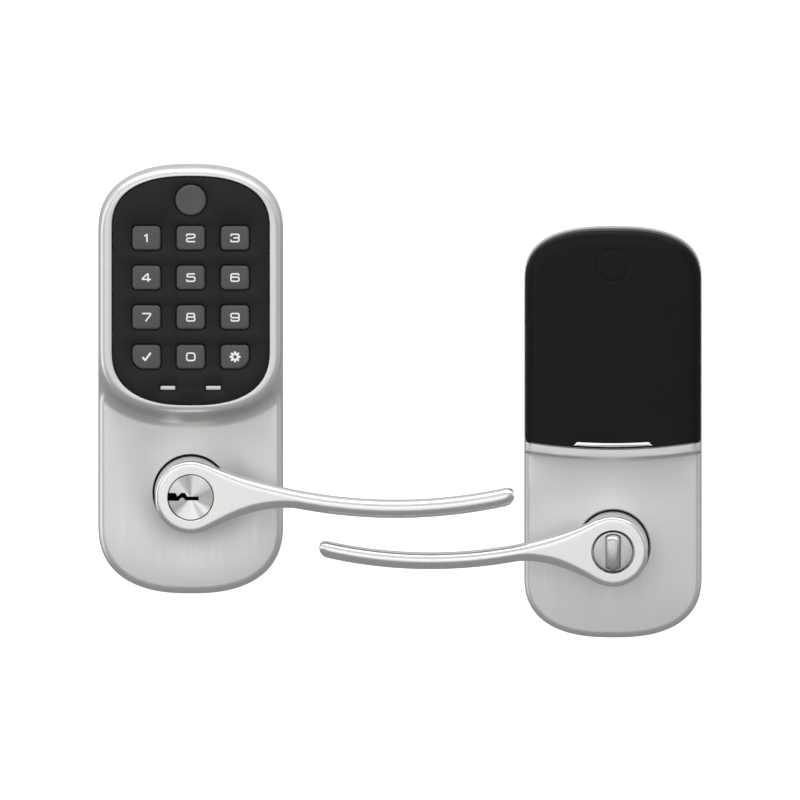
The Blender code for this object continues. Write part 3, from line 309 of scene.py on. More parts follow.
def settled(piece):
    """The piece with its modifiers turned into plain mesh."""
    graph = bpy.context.evaluated_depsgraph_get()
    mesh = bpy.data.meshes.new_from_object(piece.evaluated_get(graph))
    piece.modifiers.clear()
    piece.data = mesh
    return piece


def outwards(piece):
    """The same piece closed, with its faces pointing outwards and its round stretches smooth."""
    work = bmesh.new()
    work.from_mesh(piece.data)
    bmesh.ops.remove_doubles(work, verts=work.verts, dist=2e-7)
    bmesh.ops.dissolve_degenerate(work, dist=1e-7, edges=work.edges)
    gaps = [e for e in work.edges if len(e.link_faces) == 1]
    if gaps:
        bmesh.ops.holes_fill(work, edges=gaps, sides=0)
    if work.calc_volume(signed=True) < 0:
        bmesh.ops.reverse_faces(work, faces=work.faces)
    bare = [e for e in work.edges if not e.link_faces]
    bmesh.ops.delete(work, geom=bare, context="EDGES")
    work.to_mesh(piece.data)
    work.free()
    return smooth(piece)


def casting(name, loops, outline, holes, height, back, wall, finish, open_edge=None, crossing=()):
    """A thin-walled shell: a relief over the outline, sides down to the back, one wall thick."""
    spots, triangles = plan_faces(loops, outline, holes, crossing)
    heights = height(spots)
    work = bmesh.new()
    vertices = [work.verts.new(place(x, out, z)) for (x, z), out in zip(spots, heights)]
    for a, b, c in triangles:
        work.faces.new((vertices[a], vertices[b], vertices[c]))
    bmesh.ops.delete(work, geom=[v for v in work.verts if not v.link_faces], context="VERTS")
    rim = [e for e in work.edges if len(e.link_faces) == 1]
    centres = [(e.verts[0].co + e.verts[1].co) / 2 for e in rim]
    middles = np.array([(c.x, c.z) for c in centres]) / MM
    on_side = depth_inside(middles, outline) < ON_EDGE
    if open_edge is not None:
        on_side &= ~open_edge(middles)
    rim = [e for e, side in zip(rim, on_side) if side]
    grown = bmesh.ops.extrude_edge_only(work, edges=rim)["geom"]
    for vertex in grown:
        if isinstance(vertex, bmesh.types.BMVert):
            vertex.co.y = -back * MM
    piece = standing(name, work, finish)
    count = len(piece.data.vertices)
    thick = piece.modifiers.new("wall", "SOLIDIFY")
    thick.thickness = wall * MM
    thick.offset = -1.0
    settled(piece)
    # An inner point pushed out through the side by a sliver goes straight behind its outer one.
    points = np.empty(3 * len(piece.data.vertices))
    piece.data.vertices.foreach_get("co", points)
    points = points.reshape(-1, 3)
    outer, inner = points[:count], points[count : 2 * count]
    astray = depth_inside(inner[:, [0, 2]] / MM, outline) < ON_EDGE
    inner[astray] = outer[astray] + np.array([0.0, 0.4 * wall * MM, 0.0])
    inner[astray, 1] = np.minimum(inner[astray, 1], -back * MM)
    piece.data.vertices.foreach_set("co", points.ravel())
    return outwards(piece)


def input_socket(group, name, kind):
    """A named input of a node group."""
    return group.interface.new_socket(name, in_out="INPUT", socket_type=kind)


def surface_grain():
    """Group: streaks and a soft cloud over a surface, as a tone, a roughness and a height."""
    group = bpy.data.node_groups.new("surface_grain", "ShaderNodeTree")
    input_socket(group, "Vector", "NodeSocketVector")
    input_socket(group, "Colour", "NodeSocketColor")
    for amount in ("Roughness", "Streak Tone", "Cloud Tone", "Roughness Spread"):
        input_socket(group, amount, "NodeSocketFloat")
    input_socket(group, "Streak Scale", "NodeSocketFloat")
    input_socket(group, "Cloud Scale", "NodeSocketFloat")
    group.interface.new_socket("Colour", in_out="OUTPUT", socket_type="NodeSocketColor")
    group.interface.new_socket("Roughness", in_out="OUTPUT", socket_type="NodeSocketFloat")
    group.interface.new_socket("Height", in_out="OUTPUT", socket_type="NodeSocketFloat")
    given = group.nodes.new("NodeGroupInput")
    result = group.nodes.new("NodeGroupOutput")
    link = group.links.new

    def centred_noise(scale, detail):
        noise = group.nodes.new("ShaderNodeTexNoise")
        noise.inputs["Detail"].default_value = detail
        link(given.outputs["Vector"], noise.inputs["Vector"])
        link(given.outputs[scale], noise.inputs["Scale"])
        shifted = group.nodes.new("ShaderNodeMath")
        shifted.operation = "SUBTRACT"
        shifted.inputs[1].default_value = 0.5
        link(noise.outputs["Fac"], shifted.inputs[0])
        return noise, shifted

    def times(a, b):
        product = group.nodes.new("ShaderNodeMath")
        product.operation = "MULTIPLY"
        link(a, product.inputs[0])
        link(b, product.inputs[1])
        return product.outputs["Value"]

    def plus(a, b):
        total = group.nodes.new("ShaderNodeMath")
        link(a, total.inputs[0])
        if isinstance(b, float):
            total.inputs[1].default_value = b
        else:
            link(b, total.inputs[1])
        return total.outputs["Value"]

    streaks, streak = centred_noise("Streak Scale", 3.0)
    _, cloud = centred_noise("Cloud Scale", 2.0)
    tone = plus(
        times(streak.outputs["Value"], given.outputs["Streak Tone"]),
        times(cloud.outputs["Value"], given.outputs["Cloud Tone"]),
    )
    shade = group.nodes.new("ShaderNodeVectorMath")
    shade.operation = "SCALE"
    link(given.outputs["Colour"], shade.inputs["Vector"])
    link(plus(tone, 1.0), shade.inputs["Scale"])
    link(shade.outputs["Vector"], result.inputs["Colour"])
    spread = times(
        plus(streak.outputs["Value"], cloud.outputs["Value"]), given.outputs["Roughness Spread"]
    )
    link(plus(spread, given.outputs["Roughness"]), result.inputs["Roughness"])
    link(streaks.outputs["Fac"], result.inputs["Height"])
    return group


GRAIN = surface_grain()


def grained(name, colour, roughness, metallic, stretch, streak, cloud, spread, cloud_scale, relief):
    """A material with grain, whose noise is stretch millimetres long along X, Y and Z.

    Streaks and clouds change the tone by their shares, and the roughness by up to spread.
    """
    made = bpy.data.materials.new(name)
    made.use_nodes = True
    tree = made.node_tree
    shader = tree.nodes["Principled BSDF"]
    shader.inputs["Metallic"].default_value = metallic
    spot = tree.nodes.new("ShaderNodeTexCoord")
    mapping = tree.nodes.new("ShaderNodeMapping")
    mapping.inputs["Scale"].default_value = [1 / (MM * s) for s in stretch]
    grain = tree.nodes.new("ShaderNodeGroup")
    grain.node_tree = GRAIN
    grain.inputs["Colour"].default_value = (*colour, 1.0)
    grain.inputs["Roughness"].default_value = roughness
    grain.inputs["Streak Tone"].default_value = streak
    grain.inputs["Cloud Tone"].default_value = cloud
    grain.inputs["Roughness Spread"].default_value = spread
    grain.inputs["Streak Scale"].default_value = 1.0
    grain.inputs["Cloud Scale"].default_value = cloud_scale
    bump = tree.nodes.new("ShaderNodeBump")
    bump.inputs["Strength"].default_value = 1.0
    bump.inputs["Distance"].default_value = relief * MM
    tree.links.new(spot.outputs["Object"], mapping.inputs["Vector"])
    tree.links.new(mapping.outputs["Vector"], grain.inputs["Vector"])
    tree.links.new(grain.outputs["Colour"], shader.inputs["Base Color"])
    tree.links.new(grain.outputs["Roughness"], shader.inputs["Roughness"])
    tree.links.new(grain.outputs["Height"], bump.inputs["Height"])
    tree.links.new(bump.outputs["Normal"], shader.inputs["Normal"])
    return made


brushed_nickel = grained(
    "brushed_satin_nickel", colour=(0.74, 0.735, 0.725), roughness=0.41, metallic=1.0,
    stretch=(0.7, 0.7, 60.0), streak=0.10, cloud=0.06, spread=0.16, cloud_scale=0.06, relief=0.003,
)


def shown(piece, body, slot, *replaced):
    """The piece rides on its body and hides the CAD nodes it stands for; slot is not used."""
    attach(piece, body)
    if replaced:
        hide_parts(*replaced)
    return piece


exterior_edge = body_outline(
    EXTERIOR_HALF, EXTERIOR_LOW, EXTERIOR_HIGH, EXTERIOR_LOW_ARCH, EXTERIOR_HIGH_ARCH
)
pod_edge = body_outline(EXTERIOR_HALF, POD_LOW, EXTERIOR_HIGH, POD_LOW_ARCH, EXTERIOR_HIGH_ARCH)
fascia_low = POD_LOW + BEZEL[2]
fascia_high = EXTERIOR_HIGH - BEZEL[1]
fascia_half = EXTERIOR_HALF - BEZEL[0]
fascia_edge = body_outline(fascia_half, fascia_low, fascia_high, FASCIA_LOW_ARCH, FASCIA_HIGH_ARCH)
window_edge = inset(fascia_edge, -GAP)
rose_edge = ring(ROSE_EXTERIOR)


def escutcheon_height(spots):
    """Out of the door: the bevelled plate, and the pod with its hollow fillet down to it."""
    plate = PLATE_FRONT - rounding(
        depth_inside(spots, exterior_edge), PLATE_BEVEL, PLATE_BEVEL_DROP
    )
    in_pod = depth_inside(spots, pod_edge)
    pod = POD_FRONT - rounding(in_pod, POD_ROUND, POD_FRONT - POD_EDGE)
    beside = np.clip(-in_pod / POD_FILLET, 0, 1)
    share = 1 - np.sqrt(1 - (1 - beside) ** 2.0)
    below = plate + (POD_EDGE - plate) * share
    out = np.where(in_pod > -1e-6, pod, below)
    out -= rounding(-depth_inside(spots, window_edge), LIP_ROUND, LIP_ROUND)
    return out - rounding(-depth_inside(spots, rose_edge), LIP_ROUND, LIP_ROUND)


ROUND_SHARES = [1 - sin(radians(a)) for a in (0, 14, 27, 40, 52, 63, 73, 82)]
plan = [exterior_edge]
plan += [inset(exterior_edge, PLATE_BEVEL * s) for s in ROUND_SHARES]
plan += [pod_edge]
plan += [inset(pod_edge, POD_ROUND * s) for s in ROUND_SHARES]
plan += [
    inset(pod_edge, -POD_FILLET * s)
    for s in (0.004, 0.02, 0.05, 0.09, 0.15, 0.23, 0.33, 0.45, 0.6, 0.8, 1.0)
]
plan += [inset(window_edge, -d) for d in (0, 0.05, 0.15, LIP_ROUND)]
plan += [ring(ROSE_EXTERIOR + d) for d in (0, 0.05, 0.15, LIP_ROUND)]
exterior_casting = casting(
    "exterior_casting",
    plan,
    exterior_edge,
    [window_edge, rose_edge],
    escutcheon_height,
    CASTING_BACK,
    CASTING_WALL,
    brushed_nickel,
)
shown(exterior_casting, "housings", "satin_nickel", "exterior_escutcheon")


# Keypad fascia: a black moulded plate with a matt face, held in the pod's window by a flange
# behind. It has a hole for each key, for the wake button and for the two terminals.

FASCIA_FRONT = 29.2
FASCIA_EDGE_ROUND = 0.35
FASCIA_WALL = 1.8
KEY_PITCH = 17.7
KEY_WIDE = 11.2
KEY_HIGH = 9.5
KEY_CORNER = 1.7
KEY_CUT = 4.6
KEY_CLEAR = 0.55
FIRST_ROW = 24.4
LAST_ROW = 19.2
WAKE_RADIUS = 6.1
WAKE_DROP = 9.2
TERMINAL_WIDE = 6.0
TERMINAL_HIGH = 1.7
TERMINAL_APART = 18.2
TERMINAL_RISE = 6.7
TERMINAL_CORNER = 0.35
HOLE_ROUND = 0.2


def rounded_rectangle(wide, high, corners, centre, steps=8):
    """Corner radii are lower left, lower right, upper right, upper left."""
    points = []
    quadrants = ((-1, -1, 180), (1, -1, 270), (1, 1, 0), (-1, 1, 90))
    for (side, rise, start), radius in zip(quadrants, corners):
        for step in range(steps + 1):
            angle = radians(start + 90 * step / steps)
            x = side * (wide / 2 - radius) + radius * cos(angle)
            points.append(
                (centre[0] + x, centre[1] + rise * (high / 2 - radius) + radius * sin(angle))
            )
    return np.array(points)


key_top_row = fascia_high - FIRST_ROW
key_low_row = fascia_low + LAST_ROW
KEY_NAMES = (("1", "2", "3"), ("4", "5", "6"), ("7", "8", "9"), ("enter", "0", "menu"))
KEY_CORNERS = {
    "enter": (KEY_CUT, KEY_CORNER, KEY_CORNER, KEY_CORNER),
    "menu": (KEY_CORNER, KEY_CUT, KEY_CORNER, KEY_CORNER),
}
key_centres = {}
key_edges = {}
for row, names in enumerate(KEY_NAMES):
    for column, label in enumerate(names):
        centre = ((column - 1) * KEY_PITCH, key_top_row + (key_low_row - key_top_row) * row / 3)
        key_centres[label] = centre
        radii = KEY_CORNERS.get(label, (KEY_CORNER,) * 4)
        key_edges[label] = rounded_rectangle(KEY_WIDE, KEY_HIGH, radii, centre)
wake_centre = (0.0, fascia_high - WAKE_DROP)
terminal_edges = {}
for side, sign in (("left", -1), ("right", 1)):
    centre = (sign * TERMINAL_APART / 2, fascia_low + TERMINAL_RISE)
    corners = (TERMINAL_CORNER,) * 4
    terminal_edges[side] = rounded_rectangle(TERMINAL_WIDE, TERMINAL_HIGH, corners, centre, 4)
fascia_holes = [inset(edge, -KEY_CLEAR) for edge in key_edges.values()]
fascia_holes.append(ring(WAKE_RADIUS + KEY_CLEAR, wake_centre, 0.5))
fascia_holes += [inset(edge, -GAP) for edge in terminal_edges.values()]


def fascia_height(spots):
    """Out of the door: a flat face with its edge and the rims of its holes rounded."""
    out = FASCIA_FRONT - rounding(
        depth_inside(spots, fascia_edge), FASCIA_EDGE_ROUND, FASCIA_EDGE_ROUND
    )
    for hole in fascia_holes:
        out -= rounding(-depth_inside(spots, hole), HOLE_ROUND, HOLE_ROUND)
    return out


fascia_plastic = grained(
    "black_fascia_plastic", colour=(0.005, 0.005, 0.0054), roughness=0.42, metallic=0.0,
    stretch=(0.5, 0.5, 0.5), streak=0.25, cloud=0.2, spread=0.12, cloud_scale=0.03, relief=0.004,
)
fascia_plastic.node_tree.nodes["Principled BSDF"].inputs["Specular IOR Level"].default_value = 0.28
plan = [inset(fascia_edge, d) for d in (0, 0.05, 0.15, FASCIA_EDGE_ROUND)]
plan += [inset(hole, -d) for hole in fascia_holes for d in (0, 0.07, HOLE_ROUND)]
fascia = casting(
    "keypad_fascia_plate",
    plan,
    fascia_edge,
    fascia_holes,
    fascia_height,
    out_span("keypad_fascia")[0],
    FASCIA_WALL,
    fascia_plastic,
)
shown(fascia, "housings", "fascia_plastic", "keypad_fascia")


# Keys: grey moulded caps with a rounded shoulder, each on its own flange behind the fascia and
# pushed out by a rubber dome. The figures and signs are light inlays a hair above the cap.

KEY_SHOULDER = 0.8
KEY_FLANGE = 1.1
KEY_FLANGE_THICK = 1.8
LEGEND_STROKE = 0.58
LEGEND_PROUD = 0.04
LEGEND_DEEP = 0.1
GEAR_TEETH = 8
GEAR_RADIUS = 1.9
GEAR_TOOTH = 0.68
GEAR_HOLE = 0.72
TICK_BOLDER = 1.3
LEGEND_WIDE = 3.25
LEGEND_HIGH = 2.95


def lofted(name, sections, finish, angle=32):
    """Closed solid through sections of (out, loop), all with the same number of points."""
    work = bmesh.new()
    rows = [[work.verts.new(place(x, out, z)) for x, z in loop] for out, loop in sections]
    for low, high in zip(rows, rows[1:]):
        for i, vertex in enumerate(low):
            work.faces.new((low[i - 1], vertex, high[i], high[i - 1]))
    work.faces.new(rows[0])
    work.faces.new(rows[-1])
    return piece_from(name, work, finish, angle)


def shouldered(loop, front, radius, steps=5):
    """The last sections of a cap: its edge rounded over to the front."""
    turns = [radians(90 * step / steps) for step in range(steps + 1)]
    return [(front - radius * (1 - sin(t)), inset(loop, radius * (1 - cos(t)))) for t in turns]


def rounded_path(points, radius, closed=False):
    """A line of straight runs with its corners rounded."""
    count = len(points)
    result = []
    for i, point in enumerate(points):
        if not closed and i in (0, count - 1):
            result.append(point)
            continue
        here = Vector(point)
        before = Vector(points[i - 1]) - here
        after = Vector(points[(i + 1) % count]) - here
        reach = min(radius, before.length / 2, after.length / 2)
        start = here + before.normalized() * reach
        end = here + after.normalized() * reach
        for step in range(6):
            share = step / 5
            result.append(tuple(start.lerp(here, share).lerp(here.lerp(end, share), share)))
    return result


def ribbon(points, wide, closed=False):
    """The outline of a stroke: a polygon, or two where the stroke is a ring."""
    line = np.array(points, float)
    if closed:
        return [(inset(line, -wide / 2), True), (inset(line, wide / 2), False)]
    ahead = np.gradient(line, axis=0)
    ahead /= np.hypot(*ahead.T)[:, None]
    side = np.column_stack([-ahead[:, 1], ahead[:, 0]]) * wide / 2
    return [(np.vstack([line - side, (line + side)[::-1]]), True)]


def flat_inlay(name, polygons, back, front, finish):
    """Solid whose plan is the union of the filled polygons less the empty ones."""
    points = []
    edges = []
    for loop, _ in polygons:
        first = len(points)
        points += [Vector(p) for p in loop]
        edges += [(first + i, first + (i + 1) % len(loop)) for i in range(len(loop))]
    made, _, triangles, _, _, _ = delaunay_2d_cdt(points, edges, [], 0, 1e-5)
    spots = np.array([tuple(p) for p in made])
    middles = spots[np.array([tuple(t) for t in triangles])].mean(1)
    filled = np.zeros(len(middles), bool)
    for loop, solid in polygons:
        if solid:
            filled |= depth_inside(middles, loop) > 0
    for loop, solid in polygons:
        if not solid:
            filled &= depth_inside(middles, loop) < 0
    work = bmesh.new()
    vertices = [work.verts.new(place(x, front, z)) for x, z in spots]
    faces = []
    for triangle, kept in zip(triangles, filled):
        if kept:
            faces.append(work.faces.new([vertices[i] for i in triangle]))
    bmesh.ops.recalc_face_normals(work, faces=faces)
    grown = bmesh.ops.extrude_face_region(work, geom=faces)["geom"]
    for vertex in grown:
        if isinstance(vertex, bmesh.types.BMVert):
            vertex.co.y = -back * MM
    bmesh.ops.delete(work, geom=[v for v in work.verts if not v.link_faces], context="VERTS")
    bmesh.ops.delete(work, geom=[e for e in work.edges if not e.link_faces], context="EDGES")
    return piece_from(name, work, finish)


# Strokes of each sign in a box one wide and one high, centred: points, corner radius, closed.
BOX_ZERO = [(-0.5, -0.5), (0.5, -0.5), (0.5, 0.5), (-0.5, 0.5)]
SIGNS = {
    "0": [(BOX_ZERO, 0.28, True)],
    "1": [([(-0.26, 0.22), (0.06, 0.5), (0.06, -0.56)], 0.04, False)],
    "2": [
        (
            [
                (-0.5, 0.2), (-0.5, 0.5), (0.5, 0.5), (0.5, 0.04), (-0.5, -0.06), (-0.5, -0.5),
                (0.56, -0.5),
            ],
            0.22,
            False,
        )
    ],
    "3": [
        ([(-0.5, 0.22), (-0.5, 0.5), (0.5, 0.5), (0.5, 0.02), (-0.2, 0.02)], 0.24, False),
        ([(-0.2, 0.02), (0.5, 0.02), (0.5, -0.5), (-0.5, -0.5), (-0.5, -0.22)], 0.24, False),
    ],
    "4": [
        ([(0.2, -0.56), (0.2, 0.5)], 0.04, False),
        ([(0.24, 0.5), (0.12, 0.5), (-0.5, -0.14), (-0.5, -0.24), (0.54, -0.24)], 0.04, False),
    ],
    "5": [
        (
            [
                (0.5, 0.5), (-0.44, 0.5), (-0.46, 0.1), (0.5, 0.1), (0.5, -0.5), (-0.5, -0.5),
                (-0.5, -0.24),
            ],
            0.22,
            False,
        )
    ],
    "6": [
        ([(0.46, 0.26), (0.46, 0.5), (-0.5, 0.5), (-0.5, 0.0)], 0.24, False),
        ([(-0.5, -0.5), (0.5, -0.5), (0.5, 0.06), (-0.5, 0.06)], 0.22, True),
    ],
    "7": [([(-0.54, 0.5), (0.5, 0.5), (0.5, 0.36), (-0.12, -0.56)], 0.06, False)],
    "8": [
        ([(-0.46, 0.02), (0.46, 0.02), (0.46, 0.5), (-0.46, 0.5)], 0.2, True),
        ([(-0.5, -0.5), (0.5, -0.5), (0.5, 0.02), (-0.5, 0.02)], 0.22, True),
    ],
    "9": [
        ([(-0.46, -0.26), (-0.46, -0.5), (0.5, -0.5), (0.5, 0.0)], 0.24, False),
        ([(-0.5, -0.06), (0.5, -0.06), (0.5, 0.5), (-0.5, 0.5)], 0.22, True),
    ],
    "enter": [([(-0.5, -0.04), (-0.16, -0.46), (0.52, 0.56)], 0.02, False)],
}


def sign_polygons(label, centre):
    """The strokes of a key's figure or sign, as filled and empty polygons."""
    if label == "menu":
        turn = np.arange(GEAR_TEETH * 8) * 2 * pi / (GEAR_TEETH * 8)
        tooth = np.tanh(4 * (np.cos(turn * GEAR_TEETH) + 0.1))
        radius = GEAR_RADIUS + GEAR_TOOTH / 2 * tooth
        gear = np.column_stack([radius * np.cos(turn + pi / 2), radius * np.sin(turn + pi / 2)])
        return [(gear + centre, True), (ring(GEAR_HOLE, centre, 0.2), False)]
    stroke = LEGEND_STROKE * (TICK_BOLDER if label == "enter" else 1.0)
    polygons = []
    for points, corner, closed in SIGNS[label]:
        line = [(x * LEGEND_WIDE, z * LEGEND_HIGH) for x, z in points]
        line = np.array(rounded_path(line, corner * LEGEND_WIDE, closed)) + centre
        polygons += ribbon(line, stroke, closed)
    return polygons


cap_plastic = grained(
    "grey_key_plastic", colour=(0.068, 0.068, 0.07), roughness=0.48, metallic=0.0,
    stretch=(0.35, 0.35, 0.35), streak=0.22, cloud=0.12, spread=0.14, cloud_scale=0.05,
    relief=0.006,
)
legend_inlay = grained(
    "white_legend_inlay", colour=(0.86, 0.86, 0.85), roughness=0.5, metallic=0.0,
    stretch=(0.3, 0.3, 0.3), streak=0.05, cloud=0.04, spread=0.1, cloud_scale=0.1, relief=0.002,
)
key_back, key_front = out_span("key_5")
for label, edge in key_edges.items():
    flange = inset(edge, -KEY_FLANGE - KEY_CLEAR)
    step = key_back + KEY_FLANGE_THICK
    sections = [(key_back, flange), (step, flange), (step, edge)]
    sections += shouldered(edge, key_front, KEY_SHOULDER)
    cap = lofted(f"key_{label}_cap", sections, cap_plastic, 40)
    shown(cap, f"key_{label}", "key_plastic", f"key_{label}")
    polygons = sign_polygons(label, key_centres[label])
    inside = key_front - LEGEND_DEEP
    legend = flat_inlay(
        f"key_{label}_legend", polygons, inside, key_front + LEGEND_PROUD, legend_inlay
    )
    shown(legend, f"key_{label}", "key_plastic")


# Wake button: a plain round cap in the same grey plastic, faintly dished, that wakes the pad.

WAKE_SHOULDER = 0.7
WAKE_DISH = 0.25
WAKE_DISH_RADIUS = 5.0


def turned(name, centre, profile, finish, sides=96, angle=32):
    """Solid of revolution about the line through centre; profile is (radius, out) points.

    A profile with no point on the axis is closed on itself and makes a ring.
    """
    work = bmesh.new()
    turns = [2 * pi * i / sides for i in range(sides)]
    rows = []
    for radius, out in profile:
        if radius < 1e-6:
            rows.append([work.verts.new(place(centre[0], out, centre[1]))] * sides)
            continue
        rows.append(
            [
                work.verts.new(place(centre[0] + radius * cos(t), out, centre[1] + radius * sin(t)))
                for t in turns
            ]
        )
    pairs = list(zip(rows, rows[1:]))
    if all(radius > 1e-6 for radius, out in profile):
        pairs.append((rows[-1], rows[0]))
    for low, high in pairs:
        for i in range(sides):
            corners = [low[i - 1], low[i], high[i], high[i - 1]]
            corners = [v for n, v in enumerate(corners) if v not in corners[:n]]
            if len(corners) > 2:
                work.faces.new(corners)
    return piece_from(name, work, finish, angle)


def quarter(radius, out, size):
    """Profile points that round a turned piece's front edge: out is its face."""
    turns = [radians(18 * step) for step in range(6)]
    return [(radius - size * (1 - cos(t)), out - size * (1 - sin(t))) for t in turns]


flange = WAKE_RADIUS + KEY_FLANGE + KEY_CLEAR
step = key_back + KEY_FLANGE_THICK
profile = [(0, key_back), (flange, key_back), (flange, step), (WAKE_RADIUS, step)]
profile += quarter(WAKE_RADIUS, key_front, WAKE_SHOULDER)
for radius in (4.9, 4.0, 3.0, 2.0, 1.0, 0):
    profile.append((radius, key_front - WAKE_DISH * (1 - (radius / WAKE_DISH_RADIUS) ** 2)))
wake_cap = turned("wake_button_cap", wake_centre, profile, cap_plastic, 96, 50)
shown(wake_cap, "wake_button", "key_plastic", "wake_button")


# Terminals: two bright nickel contacts under the keys, for a spare battery held against them.

TERMINAL_SHOULDER = 0.3

contact_nickel = grained(
    "contact_nickel", colour=(0.6, 0.595, 0.585), roughness=0.3, metallic=1.0,
    stretch=(0.8, 0.8, 0.8), streak=0.04, cloud=0.04, spread=0.08, cloud_scale=0.1, relief=0.001,
)
terminal_back, terminal_front = out_span("terminal_left")
for side, edge in terminal_edges.items():
    sections = [(terminal_back, edge)] + shouldered(edge, terminal_front, TERMINAL_SHOULDER)
    contact = lofted(f"terminal_{side}_contact", sections, contact_nickel, 40)
    shown(contact, "housings", "polished_nickel", f"terminal_{side}")


# Exterior lever: one casting with a turned sleeve behind. Its round hub and flat face run out
# into a slim bowed arm whose edges are rounded until the face closes to a point.

HUB_FACE = 57.0
HUB_ROUND = 1.8
ARM_BACK = 44.4
ARM_ROUND = 3.35
HUB_SEAM = 0.04
STEM_SUNK = 6.0
ROUND_RUN = 26.0
# The arm's flare into the hub: where it starts and how high it is, as shares of the hub's radius.
FLARE_START = 0.42
FLARE_HIGH = 0.92
FLARE_POWER = 1.8
EXTERIOR_HUB = 14.5
SLEEVE = 10.4
SLEEVE_BORE = 8.0
SLEEVE_END = 4.4
GROOVE_OUT = 5.0
GROOVE_WIDE = 1.1
GROOVE_DEEP = 1.0
HUB_BACK = 14.2
CYLINDER_SOCKET = 9.3
CYLINDER_BACK = 26.0
EXTERIOR_ARM = {
    "reach": 129.5, "thick": 7.1, "dip": -4.8, "dip_at": 82.0, "bend": 207.0, "waist": 44.0
}


def arm_middle(arm, x):
    """Height of the arm's middle line: level at the hub, then an arc that dips and rises."""

    def arc(at):
        return arm["dip"] + arm["bend"] - sqrt(arm["bend"] ** 2 - (at - arm["dip_at"]) ** 2)

    waist = arm["waist"]
    if x >= waist:
        return arc(x)
    slope = (waist - arm["dip_at"]) / sqrt(arm["bend"] ** 2 - (waist - arm["dip_at"]) ** 2)
    t = max(0.0, x / waist)
    return arc(waist) * (3 * t**2 - 2 * t**3) + slope * waist * (t**3 - t**2)


def arm_half(arm, x, hub):
    """Half the arm's height: it flares into the hub and ends in a round tip."""
    start = FLARE_START * hub
    share = max(0.0, 1 - max(0.0, x - start) / (arm["waist"] - start))
    half = arm["thick"] / 2 + (FLARE_HIGH * hub - arm["thick"] / 2) * share**FLARE_POWER
    tip = arm["thick"] / 2
    past = max(0.0, x - (arm["reach"] - tip)) / tip
    return half * sqrt(max(0.0, 1 - past**2))


def lever_spans(arm, hub):
    """Stations along the lever from the back of the hub to the tip: x, middle and half height."""
    tip = arm["thick"] / 2
    runs = [-hub * cos(radians(a)) for a in range(3, 90, 4)]
    runs += list(np.linspace(0.0, arm["waist"], 46))
    runs += list(np.linspace(arm["waist"], arm["reach"] - tip, 50))[1:]
    runs += [arm["reach"] - tip + tip * sin(radians(a)) for a in range(8, 88, 7)]
    spans = []
    for x in runs:
        top = low = 0.0
        if abs(x) < hub:
            top = sqrt(hub**2 - x**2)
            low = -top
        if x > 0:
            top = max(top, arm_middle(arm, x) + arm_half(arm, x, hub))
            low = min(low, arm_middle(arm, x) - arm_half(arm, x, hub))
            if x >= hub:
                top = arm_middle(arm, x) + arm_half(arm, x, hub)
                low = arm_middle(arm, x) - arm_half(arm, x, hub)
        spans.append((x, (top + low) / 2, (top - low) / 2))
    return spans


ACROSS = np.sin(np.linspace(-pi / 2, pi / 2, 37))


def lever_blade(name, centre, side, arm, hub, finish):
    """Face and arm in one: the plan of the hub and arm, rounded over at front and back."""
    spans = lever_spans(arm, hub)
    edge = [(x, m + h) for x, m, h in spans] + [(x, m - h) for x, m, h in spans][::-1]
    edge = np.array(edge)[::-1]
    spots = np.array([(x, m + h * s) for x, m, h in spans for s in ACROSS])
    depth = np.maximum(depth_inside(spots, edge), 0)
    run = np.clip(spots[:, 0] / ROUND_RUN, 0, 1)
    radius = HUB_ROUND + (ARM_ROUND - HUB_ROUND) * run * run * (3 - 2 * run)
    radius = np.minimum(radius, np.repeat([h for x, m, h in spans], len(ACROSS)) * 0.98)
    front = (HUB_FACE - rounding(depth, radius, radius)).reshape(len(spans), -1)
    back = (ARM_BACK + rounding(depth, radius, radius)).reshape(len(spans), -1)
    spots = spots.reshape(len(spans), -1, 2)
    work = bmesh.new()
    rows = []
    for flat, near, far in zip(spots, front, back):
        row = [place(centre[0] + side * x, out, centre[1] + z) for (x, z), out in zip(flat, near)]
        row += [
            place(centre[0] + side * x, out, centre[1] + z)
            for (x, z), out in zip(flat[::-1], far[::-1])
        ]
        rows.append([work.verts.new(p) for p in row])
    for low, high in zip(rows, rows[1:]):
        for i, vertex in enumerate(low):
            work.faces.new((low[i - 1], vertex, high[i], high[i - 1]))
    work.faces.new(rows[0])
    work.faces.new(rows[-1])
    return piece_from(name, work, finish)


def combined(piece, *steps, keep_inside=False):
    """The piece after each (operation, other) in turn, as plain mesh; the others are removed."""
    for operation, other in steps:
        step = piece.modifiers.new(other.name, "BOOLEAN")
        step.operation = operation
        step.object = other
        step.solver = "EXACT"
        step.material_mode = "TRANSFER" if keep_inside else "INDEX"
        settled(piece)
        bpy.data.objects.remove(other)
    return outwards(piece)


def lever_piece(name, centre, side, arm, hub, bore, finish):
    """A whole lever: the blade joined to its turned stem, and bored from the front."""
    sleeve = [
        (0, SLEEVE_END),
        (SLEEVE - 0.3, SLEEVE_END),
        (SLEEVE, SLEEVE_END + 0.3),
        (SLEEVE, GROOVE_OUT),
        (SLEEVE - GROOVE_DEEP, GROOVE_OUT),
        (SLEEVE - GROOVE_DEEP, GROOVE_OUT + GROOVE_WIDE),
        (SLEEVE, GROOVE_OUT + GROOVE_WIDE),
        (SLEEVE, HUB_BACK),
        (hub - HUB_SEAM - 0.4, HUB_BACK),
        (hub - HUB_SEAM, HUB_BACK + 0.4),
        (hub - HUB_SEAM, HUB_FACE - STEM_SUNK),
        (0, HUB_FACE - STEM_SUNK),
    ]
    blade = lever_blade(name, centre, side, arm, hub, finish)
    stem = turned(f"{name}_stem", centre, sleeve, finish)
    socket = turned(f"{name}_socket", centre, bore, finish)
    return combined(blade, ("UNION", stem), ("DIFFERENCE", socket))


